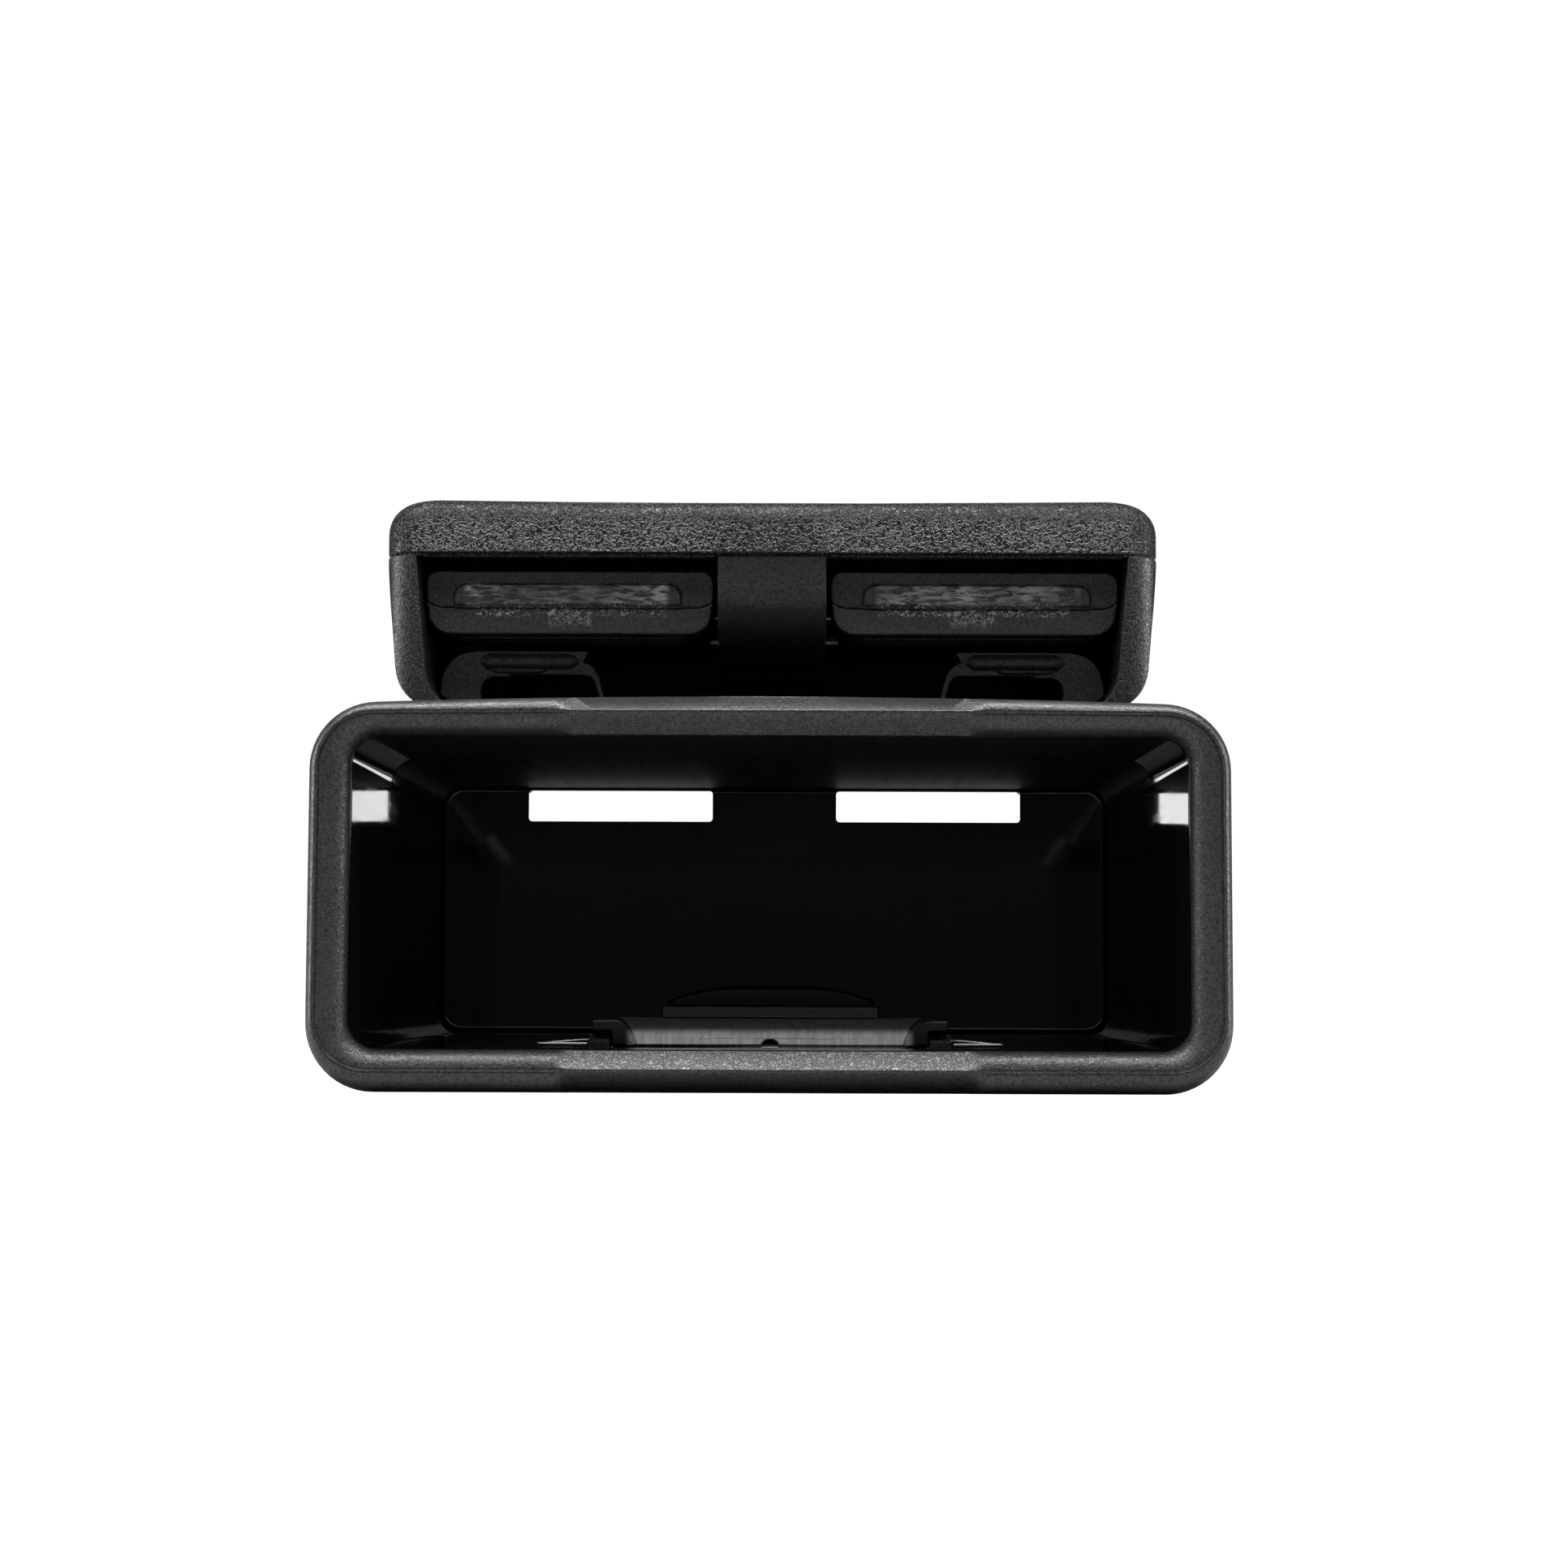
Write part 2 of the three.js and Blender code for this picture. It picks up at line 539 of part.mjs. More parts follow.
function clipFrame() {
  const { front, back, halfTop, halfLow, halfFoot, wall } = CLIP;
  const outline = new THREE.Shape(); // its lower corners turn in above a narrower foot
  outline.moveTo(-halfTop, CLIP_RIM);
  outline.lineTo(-halfLow, CLIP_FLOOR + 8.5);
  outline.quadraticCurveTo(0.4 - halfLow, CLIP_FLOOR + 1.2, -halfFoot, CLIP_FLOOR - 0.2);
  outline.lineTo(-halfFoot, CLIP_BASE);
  outline.lineTo(halfFoot, CLIP_BASE);
  outline.lineTo(halfFoot, CLIP_FLOOR - 0.2);
  outline.quadraticCurveTo(halfLow - 0.4, CLIP_FLOOR + 1.2, halfLow, CLIP_FLOOR + 8.5);
  outline.lineTo(halfTop, CLIP_RIM);
  outline.closePath();
  const plan = prism(roundedRectangle(-halfTop, front, halfTop, back, CLIP_EDGE), "z", CLIP_BASE, CLIP_RIM, 5);
  const block = common(prism(outline, "y", front - 1, back + 1, 8), plan);

  const bayBack = back - BACK_WALL;
  const bays = [-1, 1].map((side) => {
    const bay = new THREE.Shape();
    bay.moveTo(side * WEB_HALF, CLIP_RIM + 2);
    bay.lineTo(side * WEB_HALF, CLIP_FLOOR);
    bay.lineTo(side * (halfFoot - wall + 1), CLIP_FLOOR);
    bay.quadraticCurveTo(side * (halfLow - wall), CLIP_FLOOR + 1, side * (halfLow - wall), CLIP_FLOOR + 9);
    bay.lineTo(side * (halfTop - wall), CLIP_RIM + 2);
    bay.closePath();
    return prism(bay, "y", front - 1, bayBack, 6);
  });

  const sweep = new THREE.Shape(); // clears the space in front of and under the web's curved nose
  sweep.moveTo(front - 2, CLIP_FLOOR);
  sweep.lineTo(NOSE.foot, CLIP_FLOOR);
  sweep.lineTo(NOSE.back, NOSE.low);
  sweep.bezierCurveTo(35.5, NOSE.low, front + 0.5, 75.8, front + 0.5, NOSE.high);
  sweep.lineTo(front + 0.5, CLIP_RIM + 1);
  sweep.lineTo(front - 2, CLIP_RIM + 1);
  sweep.closePath();
  const nose = prism(sweep, "x", -WEB_HALF - 1, WEB_HALF + 1, 8);

  const posts = COVER_SCREWS.map(({ x, y }) => {
    return common(rod("z", [x, y], 4, CLIP_FLOOR - 1, CLIP_RIM, 20), block);
  });
  const postHoles = COVER_SCREWS.map(({ x, y }) => rod("z", [x, y], 1.75, CLIP_RIM - 14, CLIP_RIM + 1, 12));
  const bossHoles = FRAME_SCREWS.map(({ x, y }) => rod("z", [x, y], 3.8, CLIP_BASE - 1, CLIP_FLOOR + 1, 20));
  const ledges = [-1, 1].map((side) => {
    const ends = [side * (ARM.outer + 2.2), side * (ARM.outer + 6.4)].sort((a, b) => a - b);
    return box([ends[0], 99, 75], [ends[1], bayBack + 0.5, PIVOT.z - 0.2]); // the springs push on these
  });
  const guideHoles = [-1, 1].map((side) => rod("z", [side * 19, 40.5], 1.4, CLIP_BASE + 0.8, 64, 12));
  const pinBore = rod("x", [PIVOT.y, PIVOT.z], PIVOT.bore, -60.4, 60.4, 24);
  const walls = cut(block, ...bays, nose);
  return cut(join(walls, ...posts, ...ledges), ...postHoles, ...bossHoles, ...guideHoles, pinBore);
}

// The lid over the housing, rounded on all its upper edges and hollow underneath.
function clipCover() {
  const { base, top, corner, edge, roof, skirt } = COVER;
  const { front, back, halfTop } = CLIP;
  const low = base - 2 * corner; // the outlines' lower corners are cut off by the plan's height
  const lid = common(
    prism(roundedRectangle(-halfTop, low, halfTop, top, corner), "y", front - 1, back + 1, 8),
    prism(roundedRectangle(front, low, back, top, edge), "x", -halfTop - 1, halfTop + 1, 6),
    prism(roundedRectangle(-halfTop, front, halfTop, back, CLIP_EDGE), "z", base, top + 1, 5),
  );
  const hollow = box(
    [skirt - halfTop, front + skirt, base - 1],
    [halfTop - skirt, back - skirt, top - roof],
  );
  const lips = [-1, 1].map((side) => {
    const ends = [side * (WEB_HALF + 0.6), side * (halfTop - CLIP.wall - 0.9)].sort((a, b) => a - b);
    return box([ends[0], front + 0.6, base - 0.5], [ends[1], front + skirt, base + 0.01]);
  });
  const towers = COVER_SCREWS.map(({ x, y }) => rod("z", [x, y], 4, base, top - 1, 20));
  const holes = COVER_SCREWS.map(({ x, y }) => rod("z", [x, y], 1.9, base - 1, top + 1, 12));
  const sinks = COVER_SCREWS.map(({ x, y }) => rod("z", [x, y], 1.9, top - 2.6, top - 0.3, 20, 4));
  const faces = COVER_SCREWS.map(({ x, y }) => rod("z", [x, y], 4, top - 0.31, top + 1, 20));
  return cut(join(cut(lid, hollow), ...lips, ...towers), ...holes, ...sinks, ...faces);
}

// One tongue, drawn on the right-hand side about the world axes; the left one is its mirror image.
function tongue(side) {
  const span = (inner, outer) => [side * inner, side * outer].sort((a, b) => a - b);
  const [h0, h1] = span(TONGUE.inner, TONGUE.outer);
  const [a0, a1] = span(ARM.inner, ARM.outer);
  const head = prism(
    roundedRectangle(h0, TONGUE.low, h1, TONGUE.high, 1.6),
    "y",
    TONGUE.front,
    TONGUE.headBack,
    4,
  );
  const chin = prism(roundedRectangle(h0, TONGUE.low, h1, TONGUE.low + 3, 0.4), "y", TONGUE.front, 40, 2);
  const armOutline = [
    [TONGUE.headBack - 6, TONGUE.low],
    [TONGUE.headBack, TONGUE.low],
    [PIVOT.y, PIVOT.z - ARM.hub],
    [PIVOT.y, PIVOT.z + ARM.hub],
    [PIVOT.y - 8, ARM.high],
    [TONGUE.headBack - 6, ARM.high],
  ];
  const arm = prism(armOutline, "x", a0, a1);
  const channel = box([a0 + 4, TONGUE.headBack + 4, ARM.high - 1.6], [a1 - 4, PIVOT.y - 10, ARM.high + 1]);
  const hub = rod("x", [PIVOT.y, PIVOT.z], ARM.hub, a0, a1, 28);
  const bore = rod("x", [PIVOT.y, PIVOT.z], PIVOT.bore, a0 - 1, a1 + 1, 24);
  const [p0, p1] = span(PLATEAU.inner, PLATEAU.outer);
  const plateau = prism(
    roundedRectangle(p0, PLATEAU.low, p1, PLATEAU.high, 1.5),
    "y",
    TONGUE.front - PLATEAU.rise,
    TONGUE.front + 1,
    4,
  );
  const [t0, t1] = span(ARM.outer - 0.1, ARM.outer + 4.4);
  const tab = box([t0, 70, 77.6], [t1, 76, 79.6]);
  const shape = join(head, chin, cut(arm, channel), hub, plateau, tab);
  return cut(shape, bore);
}

// The grip pad under a tongue's free end.
function gripPad(side) {
  const [x0, x1] = [side * TONGUE.inner, side * TONGUE.outer].sort((a, b) => a - b);
  const { low, back, corner } = PAD;
  const high = TONGUE.low - 0.08;
  const outline = new THREE.Shape();
  outline.moveTo(x0 + 0.3, high);
  outline.quadraticCurveTo(x0 + 0.3, low, x0 + corner + 1, low);
  outline.lineTo(x1 - corner - 1, low);
  outline.quadraticCurveTo(x1 - 0.3, low, x1 - 0.3, high);
  outline.closePath();
  const pad = prism(outline, "y", TONGUE.front, back, 6);
  const ribs = [0, 1, 2].map((i) => {
    const y = TONGUE.front + 5 + i * 3.6;
    return box([x0 + corner + 2, y, low - 1], [x1 - corner - 2, y + 1.2, low + 0.7]);
  });
  return cut(pad, ...ribs);
}

// A torsion spring on the tongues' pin, about the pin's axis: one leg bears on the tongue's tab.
function tongueSpring(side) {
  const radius = 3.1;
  const x0 = side * (ARM.outer + 1.1);
  const x1 = side * (ARM.outer + 4.3);
  const turns = coil(radius, x0, x1, 90, 90 + 1080, 10);
  const bearing = [new THREE.Vector3(x0, -15, -0.75), new THREE.Vector3(x0, -7, 1.4)];
  const anchor = [new THREE.Vector3(x1, 4.4, 2.2), new THREE.Vector3(x1, 12.6, 0.5)];
  return wire([...bearing, ...turns, ...anchor], 0.5, 64);
}

// Base plate with the two arches that the tongues press towards.
function strapGuide() {
  const { inner, outer, front, back, top, leg, bar, thin } = ARCH;
  const base = CLIP_FLOOR + 0.1;
  const reach = CLIP.halfFoot - CLIP.wall + 0.4;
  const plate = box([-reach, front, base], [reach, back, base + 1.6]);
  const arches = [-1, 1].map((side) => {
    const outline = new THREE.Shape();
    outline.moveTo(side * inner, base);
    outline.lineTo(side * (inner + 1.6), top - 5.5);
    outline.quadraticCurveTo(side * (inner + 2.2), top - 2.2, side * (inner + 4.6), top - 1.9);
    outline.lineTo(side * (inner + 3.6), top);
    outline.lineTo(side * (outer - 6.8), top);
    outline.quadraticCurveTo(side * outer, top, side * outer, top - 7.2);
    outline.quadraticCurveTo(side * outer, base + 3.5, side * reach, base);
    outline.closePath();
    const opening = new THREE.Shape();
    opening.moveTo(side * (inner + thin), base + 1.6);
    opening.lineTo(side * (inner + thin + 1.2), top - bar - 1.2);
    opening.lineTo(side * (inner + thin + 2.7), top - bar);
    opening.lineTo(side * (outer - leg - 2), top - bar);
    opening.quadraticCurveTo(side * (outer - leg), top - bar, side * (outer - leg), top - bar - 2);
    opening.lineTo(side * (outer - leg - 0.6), base + 1.6);
    opening.closePath();
    return cut(prism(outline, "y", front + 0.5, back - 0.5, 6), prism(opening, "y", front - 1, back + 1, 5));
  });
  const slots = [-1, 1].map((side) => {
    const ends = [side * 35, side * 46].sort((a, b) => a - b);
    return box([ends[0], front - 1, top - bar + 1.3], [ends[1], front + 2, top - bar + 2.2]);
  });
  const holes = [-1, 1].map((side) => rod("z", [side * 19, 40.5], 1.5, base - 1, base + 3, 12));
  return cut(join(plate, ...arches), ...slots, ...holes);
}

// ---- Assembly ----------------------------------------------------------------------------------

const at = (object, x, y, z) => {
  object.position.set(x, y, z);
  return object;
};
const sideName = (side) => (side < 0 ? "left" : "right");

function pocketGroup() {
  const group = new THREE.Group();
  group.add(piece("front_collar", frontCollar(), texturedBlack));
  group.add(piece("rear_shell", rearShell(), glossBlack));
  FEET.forEach(({ x, y }, i) => {
    group.add(at(piece(`rubber_foot_${i + 1}`, foot(), rubberBlack), x, y, 0));
  });
  return group;
}

function latchGroup() {
  const group = at(new THREE.Group(), 0, LATCH.y, LATCH.z);
  group.add(piece("latch_lever", latchLever(), texturedBlack));
  group.add(piece("latch_bracket", latchBracket(), satinBlack));
  group.add(piece("latch_pin", latchPin(), steel));
  [-1, 1].forEach((side) => {
    group.add(piece(`latch_spring_${sideName(side)}`, latchSpring(side), steel));
    const size = { head: 2.4, rise: 1, shank: 1.05, length: 4.4 };
    const screw = piece(`bracket_screw_${sideName(side)}`, panScrew(size), blackSteel);
    screw.rotation.x = Math.PI; // driven upwards from underneath
    group.add(at(screw, side * BRACKET_SCREW_X, 0, BRACKET.base - 0.1 - LATCH.z));
  });
  return group;
}

function clipGroup() {
  const group = new THREE.Group();
  group.add(piece("clip_frame", clipFrame(), texturedBlack));
  group.add(piece("clip_cover", clipCover(), texturedBlack));
  group.add(piece("strap_guide", strapGuide(), satinBlack));
  group.add(piece("clip_pin", rod("x", [PIVOT.y, PIVOT.z], PIVOT.pin, -60, 60, 24), steel));
  [-1, 1].forEach((side) => {
    const name = sideName(side);
    group.add(piece(`tongue_${name}`, tongue(side), satinBlack));
    group.add(piece(`grip_pad_${name}`, gripPad(side), rubberBlack));
    group.add(at(piece(`tongue_spring_${name}`, tongueSpring(side), steel), 0, PIVOT.y, PIVOT.z));
    const size = { head: 2.5, rise: 1.3, shank: 1.15, length: 3.6 };
    const screw = piece(`guide_screw_${name}`, panScrew(size), blackSteel);
    group.add(at(screw, side * 19, 40.5, CLIP_FLOOR + 1.8));
  });
  FRAME_SCREWS.forEach(({ x, y }, i) => {
    const size = { head: 5, rise: 2.2, shank: 1.5, length: 4.2 };
    const screw = piece(`frame_screw_${i + 1}`, panScrew(size), blackSteel);
    group.add(at(screw, x, y, CLIP_FLOOR + 0.1));
  });
  COVER_SCREWS.forEach(({ x, y }, i) => {
    const size = { head: 3.8, sink: 2.4, shank: 1.5, length: 20 };
    const screw = piece(`cover_screw_${i + 1}`, countersunkScrew(size), blackSteel);
    group.add(at(screw, x, y, COVER.top - 0.15));
  });
  return group;
}

const assembly = at(new THREE.Group(), 0, -TOTAL_DEPTH / 2, 0);
assembly.add(pocketGroup(), latchGroup(), clipGroup());

const dispenser = new THREE.Group();
dispenser.add(assembly);

export default dispenser;
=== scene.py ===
"""Looks for the clip-on napkin dispenser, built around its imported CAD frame.

Shapes are drawn in millimetres, with y counted from the mouth plane towards the closed end, and are
then set into the frame, in metres.
"""
import math

import bmesh
import bpy
from mathutils import Matrix, Vector


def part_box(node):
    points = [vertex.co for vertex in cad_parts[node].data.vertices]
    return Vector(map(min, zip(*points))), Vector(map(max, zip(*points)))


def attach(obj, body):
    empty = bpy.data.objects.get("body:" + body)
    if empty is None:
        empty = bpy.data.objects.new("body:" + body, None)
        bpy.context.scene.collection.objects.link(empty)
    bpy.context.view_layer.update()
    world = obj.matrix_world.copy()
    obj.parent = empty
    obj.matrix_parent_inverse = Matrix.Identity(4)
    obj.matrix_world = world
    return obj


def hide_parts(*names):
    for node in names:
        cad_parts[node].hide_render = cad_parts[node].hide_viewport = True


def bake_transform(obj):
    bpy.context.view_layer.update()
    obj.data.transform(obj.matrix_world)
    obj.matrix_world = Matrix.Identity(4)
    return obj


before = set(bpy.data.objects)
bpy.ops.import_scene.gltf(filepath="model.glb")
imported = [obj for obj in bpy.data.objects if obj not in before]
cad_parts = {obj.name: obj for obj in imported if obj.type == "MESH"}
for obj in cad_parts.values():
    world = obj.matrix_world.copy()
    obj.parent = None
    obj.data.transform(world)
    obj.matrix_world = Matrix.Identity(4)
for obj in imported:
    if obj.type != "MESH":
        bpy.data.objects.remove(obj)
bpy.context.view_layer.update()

MM = 0.001
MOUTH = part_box("front_collar")[0].y


def span(node):
    """A CAD node's lowest and highest corners, in the drawing's millimetres."""
    low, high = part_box(node)
    shift = Vector((0, MOUTH, 0))
    return (low - shift) / MM, (high - shift) / MM


def lerp(a, b, t):
    return a + (b - a) * t


def smoothstep(x, low, high):
    t = min(1.0, max(0.0, (x - low) / (high - low)))
    return t * t * (3 - 2 * t)


# ---- Mesh kit ----------------------------------------------------------------------------------


def add(name, bm):
    """An object from a bmesh drawn in millimetres, its faces turned outwards."""
    bmesh.ops.recalc_face_normals(bm, faces=bm.faces)
    mesh = bpy.data.meshes.new(name)
    bm.to_mesh(mesh)
    bm.free()
    made = bpy.data.objects.new(name, mesh)
    bpy.context.scene.collection.objects.link(made)
    return made


def settle(piece):
    """Applies a piece's modifiers to its mesh."""
    depsgraph = bpy.context.evaluated_depsgraph_get()
    mesh = bpy.data.meshes.new_from_object(piece.evaluated_get(depsgraph), depsgraph=depsgraph)
    piece.modifiers.clear()
    old = piece.data
    piece.data = mesh
    bpy.data.meshes.remove(old)
    return piece


def combine(piece, operation, tools):
    """Joins, cuts or intersects a piece with other solids, which are used up."""
    for tool in tools:
        modifier = piece.modifiers.new(operation, "BOOLEAN")
        modifier.operation = operation
        modifier.solver = "EXACT"
        modifier.object = tool
        settle(piece)
        bpy.data.objects.remove(tool)
    return piece


def join(piece, *tools):
    return combine(piece, "UNION", tools)


def cut(piece, *tools):
    return combine(piece, "DIFFERENCE", tools)


def common(piece, *tools):
    return combine(piece, "INTERSECT", tools)


def skin(name, loops, ring=False):
    """The surface through a row of loops, capped at both ends or closed on itself as a ring.

    The last loop may be a single point."""
    bm = bmesh.new()
    rows = [[bm.verts.new(point) for point in loop] for loop in loops]
    count = len(rows[0])
    following = rows[1:] + rows[:1] if ring else rows[1:]
    for a, b in zip(rows, following):
        for j in range(count):
            k = (j + 1) % count
            bm.faces.new((a[j], a[k], b[k], b[j]) if len(b) > 1 else (a[j], a[k], b[0]))
    if not ring:
        for cap in (rows[0], rows[-1]):
            if len(cap) > 1:
                bm.faces.new(cap)
    return add(name, bm)


def prism(name, outline, axis, start, end):
    """A flat outline swept along x (drawn in y, z), along y (in x, z) or along z (in x, y)."""
    place = {
        "x": lambda u, v, w: (w, u, v),
        "y": lambda u, v, w: (u, w, v),
        "z": lambda u, v, w: (u, v, w),
    }[axis]
    return skin(name, [[place(u, v, w) for u, v in outline] for w in (start, end)])


def box(name, low, high):
    return prism(name, [(low[0], low[1]), (high[0], low[1]), (high[0], high[1]), (low[0], high[1])],
                 "z", low[2], high[2])


def rod(name, axis, u, v, start, end, radius, sides=48, end_radius=None):
    """A round bar or cone along an axis, its centre given on the other two axes in x, y, z order."""
    loops = []
    for w, r in ((start, radius), (end, end_radius or radius)):
        ring = [math.tau * i / sides for i in range(sides)]
        points = [(u + r * math.cos(a), v + r * math.sin(a)) for a in ring]
        order = {"x": lambda p: (w, *p), "y": lambda p: (p[0], w, p[1]), "z": lambda p: (*p, w)}[axis]
        loops.append([order(p) for p in points])
    return skin(name, loops)


def turned(name, x, y, profile, sides=48):
    """A turned solid standing on z: a row of radii and heights."""
    ring = [math.tau * i / sides for i in range(sides)]
    return skin(name, [[(x + r * math.cos(a), y + r * math.sin(a), z) for a in ring] for r, z in profile])


def arc(cx, cy, radius, start, end, steps=10):
    """Points on a circle, angles in degrees."""
    angles = [math.radians(lerp(start, end, i / steps)) for i in range(steps + 1)]
    return [(cx + radius * math.cos(a), cy + radius * math.sin(a)) for a in angles]


def bend(start, pull, end, steps=12):
    """Points on a quadratic curve, after its start."""
    points = []
    for i in range(1, steps + 1):
        t = i / steps
        points.append(tuple(
            (1 - t) ** 2 * a + 2 * t * (1 - t) * b + t * t * c for a, b, c in zip(start, pull, end)))
    return points


def rounded(x0, y0, x1, y1, radius, steps=10, stops=()):
    """A rectangle with round corners, its long sides divided at the given distances from x 0.

    Radius is one number, or one for each corner, from the low right corner anticlockwise."""
    r = radius if isinstance(radius, (list, tuple)) else [radius] * 4
    high = [(x, y1) for x in reversed(stops)]
    low = [(x, y0) for x in stops]
    right = arc(x1 - r[0], y0 + r[0], r[0], -90, 0, steps) + arc(x1 - r[1], y1 - r[1], r[1], 0, 90, steps)
    left = arc(x0 + r[2], y1 - r[2], r[2], 90, 180, steps) + arc(x0 + r[3], y0 + r[3], r[3], 180, 270, steps)
    return right + high + left + low


def even(reach, step):
    """Places from -reach to reach, about a step apart."""
    count = round(2 * reach / step)
    return [lerp(-reach, reach, i / count) for i in range(count + 1)]


def mirrored(side, low, high):
    """A span on the right-hand side, or its mirror image, low value first."""
    return tuple(sorted((side * low, side * high)))


def hand(side):
    return "left" if side < 0 else "right"


def soften(piece, edge, segments=3, angle=32):
    """Rounds a piece's sharp edges."""
    weld = piece.modifiers.new("weld", "WELD")
    weld.merge_threshold = 0.004
    flatten = piece.modifiers.new("flatten", "DECIMATE")
    flatten.decimate_type = "DISSOLVE"
    flatten.angle_limit = math.radians(0.3)
    bevel = piece.modifiers.new("edges", "BEVEL")
    bevel.width = edge
    bevel.segments = segments
    bevel.limit_method = "ANGLE"
    bevel.angle_limit = math.radians(angle)
    bevel.use_clamp_overlap = False
    bevel.miter_outer = "MITER_ARC"
    return settle(piece)


def shade(piece, angle=38):
    """Smooth shading over curves, with flat faces kept flat."""
    piece.data.shade_smooth()
    piece.data.set_sharp_from_angle(angle=math.radians(angle))
    weighted = piece.modifiers.new("even shading", "WEIGHTED_NORMAL")
    weighted.keep_sharp = True
    weighted.weight = 60


def install(piece, look, nodes, body="housing"):
    """Sets a finished piece into the frame in place of its CAD nodes."""
    piece.data.transform(Matrix.Translation((0, MOUTH, 0)) @ Matrix.Scale(MM, 4))
    piece.data.materials.clear()
    piece.data.materials.append(look)
    shade(piece)
    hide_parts(*nodes)
    if body:
        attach(piece, body)
    return piece


# ---- Material kit ------------------------------------------------------------------------------


def put(tree, kind, settings=None, **inputs):
    """A shader node with its settings and inputs; an input is a number, a colour or another socket."""
    node = tree.nodes.new("ShaderNode" + kind)
    for key, value in (settings or {}).items():
        setattr(node, key, value)
    for key, value in inputs.items():
        feed(tree, node.inputs[key.replace("_", " ")], value)
    return node


def feed(tree, socket, value):
    if isinstance(value, bpy.types.NodeSocket):
        tree.links.new(value, socket)
    else:
        socket.default_value = value


def calc(tree, operation, *values):
    node = tree.nodes.new("ShaderNodeMath")
    node.operation = operation
    for socket, value in zip(node.inputs, values):
        feed(tree, socket, value)
    return node.outputs[0]


def remap(tree, value, low, high, to_low=0.0, to_high=1.0):
    node = put(tree, "MapRange", {"interpolation_type": "SMOOTHSTEP"}, Value=value,
               From_Min=low, From_Max=high, To_Min=to_low, To_Max=to_high)
    return node.outputs["Result"]


def begin(name):
    look = bpy.data.materials.new(name)
    look.use_nodes = True
    tree = look.node_tree
    place = tree.nodes.new("ShaderNodeTexCoord").outputs["Object"]
    return look, tree, tree.nodes["Principled BSDF"], place


def stretched(tree, place, scale):
    return put(tree, "Mapping", None, Vector=place, Scale=scale).outputs["Vector"]


def noise(tree, place, size, detail=2.0, distortion=0.0):
    """Noise whose features are about size metres across."""
    node = put(tree, "TexNoise", None, Vector=place, Scale=0.5 / size, Detail=detail, Distortion=distortion)
    return node.outputs["Fac"]


def specks(tree, place, cell, radius):
    """Sparse specks of dust: 1 inside a speck."""
    cells = put(tree, "TexVoronoi", None, Vector=place, Scale=1 / cell, Randomness=1.0)
    lonely = put(tree, "TexWhiteNoise", {"noise_dimensions": "3D"}, Vector=cells.outputs["Position"])
    near = calc(tree, "LESS_THAN", cells.outputs["Distance"], radius / cell)
    return calc(tree, "MULTIPLY", near, calc(tree, "GREATER_THAN", lonely.outputs["Value"], 0.6))


def finish(look, tree, shader, surface):
    """Feeds a surface, its value, roughness, height in millimetres and sheen, into a shader."""
    value, roughness, height, sheen = surface
    colour = put(tree, "CombineColor", None, Red=value, Green=value, Blue=calc(tree, "MULTIPLY", value, 1.03))
    tree.links.new(colour.outputs["Color"], shader.inputs["Base Color"])
    feed(tree, shader.inputs["Roughness"], roughness)
    feed(tree, shader.inputs["Specular IOR Level"], sheen)
    bump = put(tree, "Bump", None, Height=height, Distance=MM)
    tree.links.new(bump.outputs["Normal"], shader.inputs["Normal"])
    return look


def blend_surfaces(tree, mask, first, second):
    """The second surface where the mask is 1, the first where it is 0."""
    return [calc(tree, "ADD", calc(tree, "MULTIPLY", a, calc(tree, "SUBTRACT", 1.0, mask)),
                 calc(tree, "MULTIPLY", b, mask)) for a, b in zip(first, second)]


def grained(tree, place, value, roughness, grain, depth):
    """Moulded black plastic with a spark-eroded grain and dust."""
    wavy = noise(tree, place, grain, 2.0, 1.2)
    fine = noise(tree, place, grain * 0.5, 1.0)
    ridges = remap(tree, wavy, 0.36, 0.64)
    height = calc(tree, "MULTIPLY", calc(tree, "ADD", ridges, calc(tree, "MULTIPLY", fine, 0.4)), depth)
    broad = noise(tree, place, 14 * MM, 3.0)
    dust = specks(tree, place, 2.6 * MM, 0.07 * MM)
    shades = calc(tree, "MULTIPLY", remap(tree, broad, 0.3, 0.7, 0.92, 1.1), value)
    rough = calc(tree, "ADD", remap(tree, ridges, 0.1, 0.9, roughness + 0.03, roughness - 0.02),
                 remap(tree, broad, 0.3, 0.7, -0.015, 0.02))
    sheen = remap(tree, ridges, 0.0, 0.8, 0.3, 0.62)
    return calc(tree, "ADD", shades, calc(tree, "MULTIPLY", dust, 0.12)), rough, height, sheen


